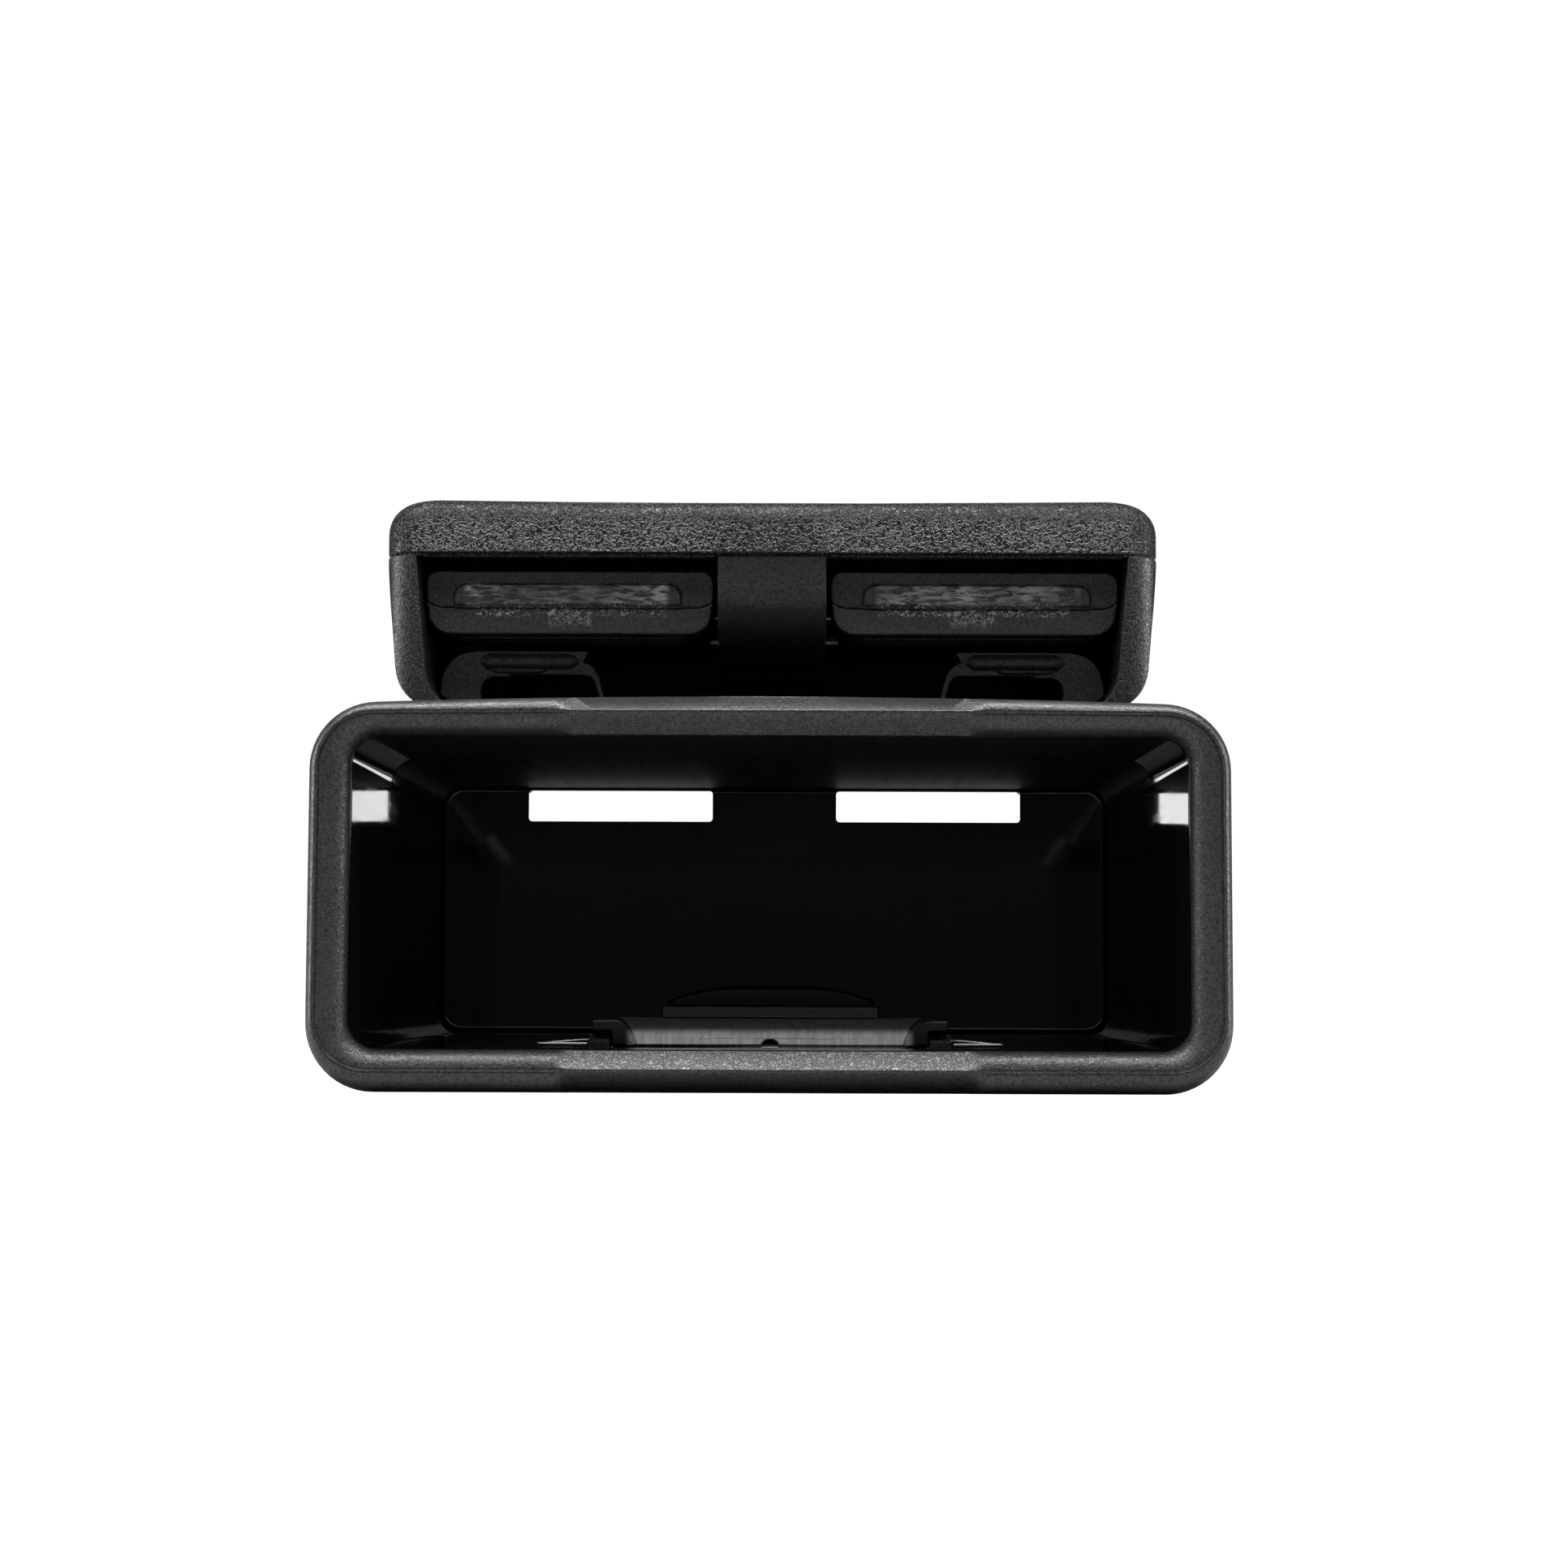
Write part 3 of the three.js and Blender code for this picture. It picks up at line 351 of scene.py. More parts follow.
def polished(tree, place, value, roughness, draft, dull):
    """Polished black plastic with faint draw marks and dust.

    Walls look drawn in towards the closed end by the draft, a slope, and the end wall looks tipped back.
    Faces that turn down past dull don't shine, nor do the fillets around the end wall."""
    parts = put(tree, "SeparateXYZ", None, Vector=place).outputs
    facing = put(tree, "SeparateXYZ", None, Vector=tree.nodes.new("ShaderNodeNewGeometry").outputs["Normal"])
    overhead = remap(tree, facing.outputs[2], dull, -0.99)
    end = remap(tree, facing.outputs[1], -0.9, -0.99)
    ripple = noise(tree, place, 14 * MM, 1.0)
    drawn = noise(tree, stretched(tree, place, (1, 0.08, 1)), 0.9 * MM, 2.0)
    dust = specks(tree, place, 3.1 * MM, 0.08 * MM)
    rough = calc(tree, "ADD", remap(tree, drawn, 0.45, 0.8, roughness, roughness + 0.05),
                 calc(tree, "ADD", calc(tree, "MULTIPLY", overhead, 0.5), dust))
    tipped = calc(tree, "MULTIPLY", calc(tree, "MULTIPLY", parts[2], end), -0.05 / MM)
    slopes = calc(tree, "ADD", calc(tree, "MULTIPLY", parts[1], draft / MM), tipped)
    waves = calc(tree, "ADD", calc(tree, "MULTIPLY", ripple, 0.025), calc(tree, "MULTIPLY", drawn, 0.002))
    height = calc(tree, "ADD", slopes, waves)
    bent = calc(tree, "MULTIPLY", remap(tree, facing.outputs[1], -0.1, -0.2),
                remap(tree, facing.outputs[1], -0.995, -0.9))
    sheen = calc(tree, "SUBTRACT", 0.5, calc(tree, "MULTIPLY", overhead, 0.46))
    sheen = calc(tree, "MULTIPLY", sheen, calc(tree, "SUBTRACT", 1.0, bent))
    return calc(tree, "ADD", value, calc(tree, "MULTIPLY", dust, 0.06)), rough, height, sheen


def box_mask(tree, place, low, high, fade):
    """1 inside a box given in millimetres, fading out over a distance."""
    parts = put(tree, "SeparateXYZ", None, Vector=place).outputs
    mask = None
    for i in range(3):
        shift = MOUTH if i == 1 else 0
        lo, hi = low[i] * MM + shift, high[i] * MM + shift
        inside = calc(tree, "MULTIPLY", remap(tree, parts[i], lo - fade * MM, lo),
                      remap(tree, parts[i], hi + fade * MM, hi))
        mask = inside if mask is None else calc(tree, "MULTIPLY", mask, inside)
    return mask


def folded(tree, place):
    """The place, with the left half folded onto the right."""
    parts = put(tree, "SeparateXYZ", None, Vector=place).outputs
    right = calc(tree, "ABSOLUTE", parts[0])
    return put(tree, "CombineXYZ", None, X=right, Y=parts[1], Z=parts[2]).outputs[0]


def textured_plastic(name, value, roughness, grain, depth, gloss):
    look, tree, shader, place = begin(name)
    value, rough, height, sheen = grained(tree, place, value, roughness, grain, depth)
    gate = box_mask(tree, place, (-4, 20, 88.5), (4, 30, 94), 9)
    height = calc(tree, "MULTIPLY", height, calc(tree, "SUBTRACT", 1.0, calc(tree, "MULTIPLY", gate, 0.3)))
    return finish(look, tree, shader, (value, rough, height, calc(tree, "MULTIPLY", sheen, gloss)))


def rim_plastic():
    """Grained outside and on the rim, polished inside the mouth."""
    look, tree, shader, place = begin("rim plastic")
    outside = grained(tree, place, 0.009, 0.34, GRAIN * 0.6, 0.03)
    inside = polished(tree, place, 0.004, 0.05, 0.053, -0.9)
    mask = box_mask(tree, place, (-65.1, 4.2, 6.4), (65.1, 60, 55.5), 1.2)
    return finish(look, tree, shader, blend_surfaces(tree, mask, outside, inside))


def gloss_plastic():
    look, tree, shader, place = begin("gloss plastic")
    return finish(look, tree, shader, polished(tree, place, 0.004, 0.05, 0.042, -0.1))


def satin_plastic():
    look, tree, shader, place = begin("satin plastic")
    return finish(look, tree, shader, grained(tree, place, 0.012, 0.36, GRAIN * 0.6, 0.02))


def scuffed_highlighted_plastic():
    """Satin plastic with the tongues' rubbed plateaus, lightened partly as scuffs and partly as a painted
    highlight, and the rough moulding gates below them.
    """
    look, tree, shader, place = begin("scuffed plastic with painted highlight")
    value, rough, height, sheen = grained(tree, place, 0.011, 0.34, GRAIN * 0.5, 0.06)
    half = folded(tree, place)
    streaks = noise(tree, stretched(tree, place, (0.35, 1, 1.5)), 0.5 * MM, 6.0, 0.6)
    patches = remap(tree, noise(tree, place, 6 * MM, 2.0), 0.35, 0.65, 0.25, 1.0)
    # The plateaus are lightened partly as real scuffs and partly as a painted highlight, standing in for
    # light that doesn't reach them.
    rub_and_highlight = calc(tree, "MULTIPLY", box_mask(tree, half, (18, 29, 80.2), (50.5, 30.6, 82.6), 1.2),
               calc(tree, "MULTIPLY", remap(tree, streaks, 0.42, 0.6), patches))
    rough_edge = noise(tree, place, 0.34 * MM, 4.0, 1.6)
    gate = calc(tree, "MULTIPLY", box_mask(tree, half, (30.5, 28, 76.9), (36.5, 32, 79.2), 1.2),
                remap(tree, rough_edge, 0.44, 0.58))
    chips = calc(tree, "MULTIPLY", box_mask(tree, half, (18, 28, 78.2), (49, 32, 79.7), 0.7),
                 remap(tree, rough_edge, 0.52, 0.62))
    # The marks lighten the colour: the gates and chips as real roughness, the plateaus partly as a painted
    # highlight.
    marks = calc(tree, "MAXIMUM", rub_and_highlight, calc(tree, "MAXIMUM", calc(tree, "MULTIPLY", gate, 0.6), chips))
    value = calc(tree, "ADD", value, calc(tree, "MULTIPLY", marks, 0.28))
    height = calc(tree, "ADD", height, calc(tree, "MULTIPLY", calc(tree, "ADD", marks, gate), 0.1))
    return finish(look, tree, shader, (value, rough, height, sheen))


def scraped_highlighted_plastic():
    """The lever's plastic: grained, with the low part of the thumb scoop lightened along its draw marks,
    partly as rubbing and partly as a painted highlight.
    """
    look, tree, shader, place = begin("scraped plastic with painted highlight")
    value, rough, height, sheen = grained(tree, place, 0.003, 0.22, GRAIN * 0.5, 0.02)
    drag = noise(tree, stretched(tree, place, (1, 0.06, 0.2)), 0.35 * MM, 3.0)
    # The scoop's low band is lightened partly as rubbing along the draw marks and partly as a painted
    # highlight of the light falling on the scoop.
    rub_and_highlight = calc(tree, "MULTIPLY", box_mask(tree, place, (-22, 8, 6.7), (22, 24, 8.4), 1.4),
               remap(tree, drag, 0.38, 0.62, 0.75, 1.0))
    value = calc(tree, "ADD", value, calc(tree, "MULTIPLY", rub_and_highlight, 0.27))
    height = calc(tree, "ADD", height, calc(tree, "MULTIPLY", drag, 0.008))
    sheen = remap(tree, rub_and_highlight, 0.0, 1.0, 0.2, 0.6)
    return finish(look, tree, shader, (value, rough, height, sheen))


def metal(name, value, roughness, direction):
    """Steel with fine marks drawn out along one direction."""
    look, tree, shader, place = begin(name)
    marks = noise(tree, stretched(tree, place, direction), 0.25 * MM, 3.0)
    stain = remap(tree, noise(tree, place, 3 * MM, 3.0), 0.35, 0.7, 1.0, 0.7)
    shader.inputs["Metallic"].default_value = 1.0
    rough = remap(tree, marks, 0.3, 0.7, roughness - 0.06, roughness + 0.1)
    height = calc(tree, "MULTIPLY", marks, 0.008)
    return finish(look, tree, shader, (calc(tree, "MULTIPLY", stain, value), rough, height, 0.5))


def dull_rubber():
    """Matt rubber with a fine bloom."""
    look, tree, shader, place = begin("rubber")
    bloom = remap(tree, noise(tree, place, 4 * MM, 4.0), 0.4, 0.7, 0.012, 0.028)
    pores = noise(tree, place, 0.18 * MM, 2.0)
    rough = remap(tree, pores, 0.3, 0.7, 0.6, 0.85)
    return finish(look, tree, shader, (bloom, rough, calc(tree, "MULTIPLY", pores, 0.03), 0.4))


GRAIN = 0.34 * MM
cover_plastic = textured_plastic("cover plastic", 0.005, 0.25, GRAIN * 0.85, 0.16, 0.55)
housing_plastic = textured_plastic("housing plastic", 0.007, 0.34, GRAIN * 0.6, 0.035, 0.75)
collar_plastic = rim_plastic()
gloss = gloss_plastic()
satin = satin_plastic()
tongue_plastic = scuffed_highlighted_plastic()
lever_plastic = scraped_highlighted_plastic()
bracket_plastic = textured_plastic("bracket plastic", 0.006, 0.3, GRAIN * 0.6, 0.02, 0.8)
rubber = dull_rubber()
steel = metal("bright steel", 0.5, 0.28, (0.04, 1, 1))
black_steel = metal("blackened steel", 0.03, 0.38, (1, 1, 1))


# ---- The pocket --------------------------------------------------------------------------------

COLLAR_LOW, COLLAR_HIGH = span("front_collar")
SHELL_LOW, SHELL_HIGH = span("rear_shell")
BODY_HALF = COLLAR_HIGH.x
BODY_HEIGHT = 60.4
RIM_SIDE = 6.5
RIM_LOW = 6.6
RIM_HIGH = 5.2
RIM_DEPTH = 12.6
RIM_CROWN = 1.0
CORNER_OUTER = 10.5
CORNER_INNER = 4.6
CREST = (0.25, 0.53, 0.36)  # the crest's place in the rim, at the sides, bottom and top
WALL = 0.52  # the thin wall's outer face, as a share of the rim's width
SOCKET = 0.72
SPIGOT = 0.76
GRIP_HALF = 32  # the middle of the rim is wedge-shaped, for a finger
ROLL_OUTSIDE = 3.4  # how far the rim rolls back from its crest, outside and inside the mouth
ROLL_INSIDE = 3.8
WEDGE_INSIDE = 3.1
CREASE = 0.12  # the fine groove along the crest
SEAM = SHELL_LOW.y
SEAM_INSIDE = COLLAR_HIGH.y
DEPTH = SHELL_HIGH.y
END_WALL = 3.0
END_ROUND = 3.4  # the round edge around the closed end
BRACKET_SCREWS = [(side * 40.9, 25) for side in (-1, 1)]
FRAME_SCREWS = [(side * 29, y) for side in (-1, 1) for y in (58, 90)]


def pocket_loop(y, shares, stops, steps=14):
    """The pocket's outline at one depth; shares say how far inside the outer outline each side lies."""
    side, low, high = shares
    half = BODY_HALF - side * RIM_SIDE
    bottom = low * RIM_LOW
    top = BODY_HEIGHT - high * RIM_HIGH
    r_low = lerp(CORNER_OUTER, CORNER_INNER, (side + low) / 2)
    r_high = lerp(CORNER_OUTER, CORNER_INNER, (side + high) / 2)
    outline = rounded(-half, bottom, half, top, [r_low, r_high, r_high, r_low], steps, stops)
    return [Vector((x, y, z)) for x, z in outline]


def crest_rows():
    """The rim's rolled edge, from its outer side over the crest to the mouth's inner side."""
    rows = []
    for turn in [-1 + i / 12 for i in range(12)] + [-0.02, 0.0, 0.02] + [(i + 1) / 12 for i in range(12)]:
        angle = math.radians(90 * abs(turn))
        if turn < 0:
            shares = [crest * (1 - math.sin(angle)) for crest in CREST]
            depth = ROLL_OUTSIDE * (1 - math.cos(angle))
            wedge = ROLL_OUTSIDE * math.sin(angle)
        else:
            shares = [crest + (1 - crest) * math.sin(angle) for crest in CREST]
            depth = ROLL_INSIDE * (1 - math.cos(angle))
            wedge = WEDGE_INSIDE * math.sin(angle)
        groove = CREASE if turn == 0 else 0.0
        rows.append((shares, depth + groove, wedge + groove))
    return rows


def front_collar():
    fine = [GRIP_HALF - 2.0 + 0.25 * i for i in range(17)]
    coarse = [2.5 * i for i in range(12)]
    half = coarse + fine + [37, 41, 46, 51, 56]
    stops = [-x for x in reversed(half[1:])] + half
    loops = []
    for shares, depth, wedge in crest_rows():
        loop = pocket_loop(0, shares, stops)
        for point in loop:
            middle = 1 - smoothstep(abs(point.x), GRIP_HALF - 1.6, GRIP_HALF + 1.6)
            point.y = lerp(depth, wedge, middle)
        loops.append((shares[2], loop))
    for share, y in ((1, 8), (1, 20), (1, SEAM_INSIDE - 0.5), (0.98, SEAM_INSIDE), (SPIGOT, SEAM_INSIDE),
                     (SPIGOT, SEAM - 0.3), (WALL, SEAM - 0.3), (WALL, 16.4), (0.47, 15.3), (0.36, 14.5),
                     (0.16, 13.7), (0.05, 13.2), (0.0, RIM_DEPTH), (0, 8)):
        loops.append((share, pocket_loop(y, (share,) * 3, stops)))
    for share, loop in loops:
        for point in loop:
            across = 1 - (point.x / (BODY_HALF - 10)) ** 2
            if point.z > BODY_HEIGHT / 2:
                point.z += RIM_CROWN * max(0, across) * max(0, 1 - share / WALL)
    collar = skin("pocket_collar", [loop for _, loop in loops], ring=True)
    low, high = span("latch_bracket")
    half = high.x - 6.3
    window = box("window", (-half, low.y - 0.3, -1), (half, 29.9, 9))
    cut(collar, window, *[rod("hole", "z", x, y, -1, 6, 1.3) for x, y in BRACKET_SCREWS])
    soften(collar, 0.3, 2, 40)
    return install(collar, collar_plastic, ["front_collar"])


def rear_shell():
    inner = [(1.28, DEPTH - END_WALL), (1.16, DEPTH - END_WALL - 0.3), (1.12, DEPTH - END_WALL - 1.2),
             (1.10, DEPTH - END_WALL - 3), (1.0, SEAM_INSIDE + 0.6), (0.98, SEAM_INSIDE + 0.3),
             (SOCKET, SEAM_INSIDE + 0.3)]
    outer = [(SOCKET, SEAM), (WALL + 0.03, SEAM), (WALL, SEAM + 0.2), (WALL, 50), (WALL, 80)]
    for i in range(9):
        angle = math.radians(90 * i / 8)
        outer.append((WALL + 0.5 * (1 - math.cos(angle)), DEPTH - END_ROUND * (1 - math.sin(angle))))
    shell = skin("pocket_shell", [pocket_loop(y, (share,) * 3, even(54, 9)) for share, y in inner + outer])
    windows = []
    for side in (-1, 1):
        x0, x1 = mirrored(side, 12, 47.7)
        outline = rounded(x0, 48.1, x1, 54.2, 0.7, 4)
        windows.append(prism("window", outline, "y", DEPTH - END_WALL - 4, DEPTH + 1))
    join(shell, *[rod("boss", "z", x, y, 57, SHELL_HIGH.z, 3.5) for x, y in FRAME_SCREWS])
    cut(shell, *windows, *[rod("hole", "z", x, y, 56.1, 62, 1.75) for x, y in FRAME_SCREWS])
    soften(shell, 0.25, 2, 40)
    return install(shell, gloss, ["rear_shell"])


def feet():
    for i in range(1, 5):
        low, high = span(f"rubber_foot_{i}")
        centre = (low + high) / 2
        radius = (high.x - low.x) / 2
        profile = [(0.5, 0.35), (radius - 2.2, 0.35), (radius - 1.9, 0.0), (radius - 1.1, 0.0),
                   (radius - 0.7, 0.15), (radius - 0.45, 0.5), (radius, high.z - 0.3), (radius - 0.1, high.z)]
        install(turned(f"foot_{i}", centre.x, centre.y, profile), rubber, [f"rubber_foot_{i}"])


# ---- The clip housing --------------------------------------------------------------------------

FRAME_LOW, FRAME_HIGH = span("clip_frame")
COVER_LOW, COVER_HIGH = span("clip_cover")
CLIP_EDGE = 5.5
CLIP_FLOOR = FRAME_LOW.z + 3
HALF_TOP = FRAME_HIGH.x
HALF_LOW = HALF_TOP - 1.8
HALF_FOOT = 53.0
SIDE_WALL = 5.1
BACK_WALL = 4.0
WEB_HALF = 9.0
NOSE_LOW, NOSE_HIGH = 70.5, 82  # where the web's front edge curves back and under
NOSE_BACK, NOSE_FOOT = 47, 60
PIN_BORE = 2.08
PIVOT_Y = (span("clip_pin")[0].y + span("clip_pin")[1].y) / 2
PIVOT_Z = (span("clip_pin")[0].z + span("clip_pin")[1].z) / 2
COVER_SCREWS = [(side * 53.4, y) for side in (-1, 1) for y in (62, 97.5)]
POST = 4  # the radius of the posts that the cover's screws go into


def clip_frame():
    front, back, rim = FRAME_LOW.y, FRAME_HIGH.y, FRAME_HIGH.z
    right = [(HALF_FOOT, FRAME_LOW.z), (HALF_FOOT, CLIP_FLOOR - 0.2)]
    right += bend(right[-1], (HALF_LOW - 0.4, CLIP_FLOOR + 1.2), (HALF_LOW, CLIP_FLOOR + 8.5), 14)
    right.append((HALF_TOP, rim))
    outline = right + [(-x, z) for x, z in reversed(right)]
    plan = rounded(-HALF_TOP, front, HALF_TOP, back, CLIP_EDGE, 14)
    block = common(prism("clip_housing", outline, "y", front - 1, back + 1),
                   prism("plan", plan, "z", FRAME_LOW.z - 1, rim + 1))
    top = box("rim", (-99, 0, rim), (99, 199, rim + 9))
    tools = [top]
    for side in (-1, 1):
        bay = [(side * WEB_HALF, rim + 2), (side * WEB_HALF, CLIP_FLOOR),
               (side * (HALF_FOOT - SIDE_WALL + 1), CLIP_FLOOR)]
        wall = side * (HALF_LOW - SIDE_WALL)
        bay += bend(bay[-1], (wall, CLIP_FLOOR + 1), (wall, CLIP_FLOOR + 9), 12)
        bay.append((side * (HALF_TOP - SIDE_WALL), rim + 2))
        tools.append(prism("bay", bay, "y", front - 1, back - BACK_WALL))
    sweep = [(front - 2, CLIP_FLOOR), (NOSE_FOOT, CLIP_FLOOR)]
    turns = [math.radians(90 * i / 28) for i in range(29)]
    sweep += [(lerp(NOSE_BACK, front + 0.5, math.sin(a)), lerp(NOSE_HIGH, NOSE_LOW, math.cos(a)))
              for a in turns]
    sweep += [(front + 0.5, rim + 1), (front - 2, rim + 1)]
    tools.append(prism("nose", sweep, "x", -WEB_HALF - 1, WEB_HALF + 1))
    cut(block, *tools)
    ledges = []
    for side in (-1, 1):
        x0, x1 = mirrored(side, 46.2, 50.4)
        ledges.append(box("ledge", (x0, 99, 75), (x1, back - BACK_WALL + 0.5, PIVOT_Z - 0.2)))
    posts = [rod("post", "z", x, y, CLIP_FLOOR + 4, rim, POST) for x, y in COVER_SCREWS]
    join(block, *ledges, *posts)
    holes = [rod("hole", "z", x, y, rim - 14, rim + 1, 1.75) for x, y in COVER_SCREWS]
    holes += [rod("hole", "z", x, y, FRAME_LOW.z - 1, CLIP_FLOOR + 1, 3.8) for x, y in FRAME_SCREWS]
    holes.append(rod("bore", "x", PIVOT_Y, PIVOT_Z, -60.4, 60.4, PIN_BORE))
    cut(block, *holes)
    soften(block, 0.3, 2, 40)
    return install(block, housing_plastic, ["clip_frame"])


def clip_cover():
    low, high = COVER_LOW, COVER_HIGH
    base = FRAME_HIGH.z + 0.3
    corner, edge, sink, skirt, roof = 5.9, 4.2, 0.35, 3.4, 3.2
    levels = [base, base + 0.12] + [lerp(base + 0.5, high.z - corner, i / 3) for i in range(4)]
    levels += [high.z - corner * (1 - math.sin(math.radians(90 * i / 16))) for i in range(1, 17)]
    loops = []
    for z in levels:
        def inset(radius):
            return radius - math.sqrt(max(0, radius ** 2 - max(0, z - (high.z - radius)) ** 2))
        lip = 0.12 if z == base else 0.0
        x, y = inset(corner) + lip, inset(edge) + lip
        r = max(3.2, CLIP_EDGE - 0.25 * x)
        outline = rounded(x - HALF_TOP, low.y + y, HALF_TOP - x, high.y - y, r, 10, even(54, 2.5))
        loops.append([(u, v, z) for u, v in outline])
    last = loops[-1]
    centre = (low.y + high.y) / 2
    for shrink in (0.97, 0.9, 0.8, 0.6, 0.4, 0.2):
        loops.append([(u * shrink, centre + (v - centre) * shrink, high.z) for u, v, _ in last])
    loops.append([(0, centre, high.z)])
    sagging = []
    for loop in loops:
        sagging.append([(u, v, w - sink * max(0, 1 - (u / 56) ** 2) * (w - base) / (high.z - base))
                     for u, v, w in loop])
    cover = skin("clip_lid", sagging)
    cut(cover, box("hollow", (skirt - HALF_TOP, low.y + skirt, base - 1),
                   (HALF_TOP - skirt, high.y - skirt, high.z - roof)))
    lips = []
    for side in (-1, 1):
        x0, x1 = mirrored(side, WEB_HALF + 0.6, HALF_TOP - SIDE_WALL - 0.9)
        lips.append(box("lip", (x0, low.y + 1.6, low.z), (x1, low.y + 3.5, base + 0.2)))
    join(cover, *lips, *[rod("tower", "z", x, y, base, high.z - 1, POST) for x, y in COVER_SCREWS])
    sunk = [(1.9, base - 1), (1.9, high.z - 2.6), (4, high.z - 0.45), (4, high.z + 1)]
    cut(cover, *[turned("sunk_hole", x, y, sunk) for x, y in COVER_SCREWS])
    soften(cover, 0.15, 2, 42)
    return install(cover, cover_plastic, ["clip_cover"])


def spindle(name, x0, x1, y, z, radius):
    """A round bar along x that swells from a point and tapers back to one."""
    loops = []
    for i in range(25):
        t = i / 24
        r = radius * max(0.02, min(1.0, 3 * math.sin(math.pi * t))) ** 0.7
        ring = [math.tau * j / 32 for j in range(32)]
        loops.append([(lerp(x0, x1, t), y + r * math.cos(a), z + r * math.sin(a)) for a in ring])
    return skin(name, loops)


def strap_guide():
    low, high = span("strap_guide")
    base, top = low.z, high.z
    inner, outer = 27.4, high.x
    reach = HALF_FOOT - SIDE_WALL + 0.4
    plate = box("strap_loops", (-reach, low.y, base), (reach, high.y, base + 1.6))
    for side in (-1, 1):
        shape = [(inner, base), (inner + 1.6, top - 5.5)]
        shape += bend(shape[-1], (inner + 2.2, top - 2.2), (inner + 4.6, top - 1.9), 8)
        shape += [(inner + 3.6, top), (outer - 6.8, top)]
        shape += bend(shape[-1], (outer, top), (outer, top - 7.2), 16)
        shape += bend(shape[-1], (outer, base + 3.5), (reach, base), 10)
        arch = prism("arch", [(side * x, z) for x, z in shape], "y", low.y + 0.5, high.y - 0.5)
        bar = top - 4.1
        hole = [(inner + 1.3, base + 1.6), (inner + 2.4, bar - 1.6)]
        hole += bend(hole[-1], (inner + 2.8, bar), (inner + 4.6, bar), 8)
        hole += [(outer - 11.5, bar), (outer - 12.5, bar - 0.35), (outer - 9.4, bar - 0.35)]
        hole += bend(hole[-1], (outer - 6.8, bar - 0.35), (outer - 6.8, bar - 3), 10)
        hole += [(outer - 7.2, base + 1.6)]
        cut(arch, prism("opening", [(side * x, z) for x, z in hole], "y", low.y - 1, high.y + 1))
        groove = spindle("groove", *mirrored(side, inner + 4.6, outer - 6), low.y - 0.2, top - 1.8, 1.5)
        slit = spindle("slit", *mirrored(side, outer - 18, outer - 8.5), low.y + 0.5, bar + 0.8, 0.45)
        cut(arch, groove, slit)
        join(plate, arch)
    cut(plate, *[rod("hole", "z", side * 19, 40.5, base - 1, base + 3, 1.5) for side in (-1, 1)])
    soften(plate, 0.2, 3, 34)
    return install(plate, satin, ["strap_guide"])


# ---- The tongues -------------------------------------------------------------------------------


def tongue(side):
    name = hand(side)
    low, high = span(f"tongue_{name}")
    x0, x1 = low.x, high.x
    pad_low, pad_high = span(f"grip_pad_{name}")
    front, base = pad_low.y, pad_high.z + 0.08
    top, corner = 85.4, 2
    outline = [(x1, base + 1.4)]
    outline += arc(x1 - corner, top - corner, corner, 0, 90, 8)
    outline += arc(x0 + corner, top - corner, corner, 90, 180, 8)
    outline += [(x0, base + 1.4)] + bend((x0, base + 1.4), (x0 + 0.6, base), (x0 + 3.4, base), 8)
    outline += [(x1 - 3.4, base)] + bend((x1 - 3.4, base), (x1 - 0.6, base), (x1, base + 1.4), 8)[:-1]
    head = prism(f"clip_tongue_{name}", outline, "y", front, front + 18)
    a0, a1 = mirrored(side, 12, 44)
    hub, arm_top = 4.6, 83.4
    arm = prism("arm", [(front + 12, base + 0.4), (front + 18.5, base + 0.4), (PIVOT_Y, PIVOT_Z - hub),
                        (PIVOT_Y, PIVOT_Z + hub), (PIVOT_Y - 8, arm_top), (front + 12, arm_top)], "x", a0, a1)
    cut(arm, box("channel", (a0 + 4, front + 22, 81.8), (a1 - 4, PIVOT_Y - 10, 85)))
    t0, t1 = mirrored(side, 43.9, 48.4)
    p0, p1 = mirrored(side, 15.2, 53)
    raised = rounded(p0, base + 0.3, p1, 83.1, [0.3, 2.1, 2.1, 0.3], 8)
    plateau = prism("plateau", raised, "y", low.y, front + 1)
    join(head, arm, rod("hub", "x", PIVOT_Y, PIVOT_Z, a0, a1, hub),
         box("tab", (t0, 70, 77.6), (t1, 76, 79.6)), plateau)
    cut(head, rod("bore", "x", PIVOT_Y, PIVOT_Z, a0 - 1, a1 + 1, PIN_BORE))
    soften(head, 0.35, 3, 34)
    return install(head, tongue_plastic, [f"tongue_{name}"], f"{name}_tongue")


def grip_pad(side):
    name = hand(side)
    low, high = span(f"grip_pad_{name}")
    x0, x1, top, r = low.x, high.x, high.z, 3.8
    outline = arc(x0 + r, low.z + r, r, 180, 270, 12) + arc(x1 - r, low.z + r, r, -90, 0, 12)
    outline = [(x, min(z, top - 0.01)) for x, z in outline]
    outline += [(x1, top + 1.2)] + bend((x1, top + 1.2), (x1 - 0.6, top), (x1 - 3.4, top), 8)
    outline += [(x0 + 3.4, top)] + bend((x0 + 3.4, top), (x0 + 0.6, top), (x0, top + 1.2), 8)
    pad = prism(f"grip_pad_rubber_{name}", clean(outline), "y", low.y, high.y)
    grooves = [low.y + 5 + 3.6 * i for i in range(3)]
    cut(pad, *[box("groove", (x0 + 5, y, low.z - 1), (x1 - 5, y + 1.2, low.z + 0.7)) for y in grooves])
    soften(pad, 0.4, 3, 34)
    return install(pad, tongue_plastic, [f"grip_pad_{name}"], f"{name}_tongue")


def clean(outline):
    """The outline without repeated points."""
    kept = []
    for point in outline:
        if not kept or math.dist(point, kept[-1]) > 0.01:
            kept.append(point)
    return kept


# ---- The latch ---------------------------------------------------------------------------------


LATCH_PIVOT = ((span("latch_pin")[0] + span("latch_pin")[1]) / 2).yz


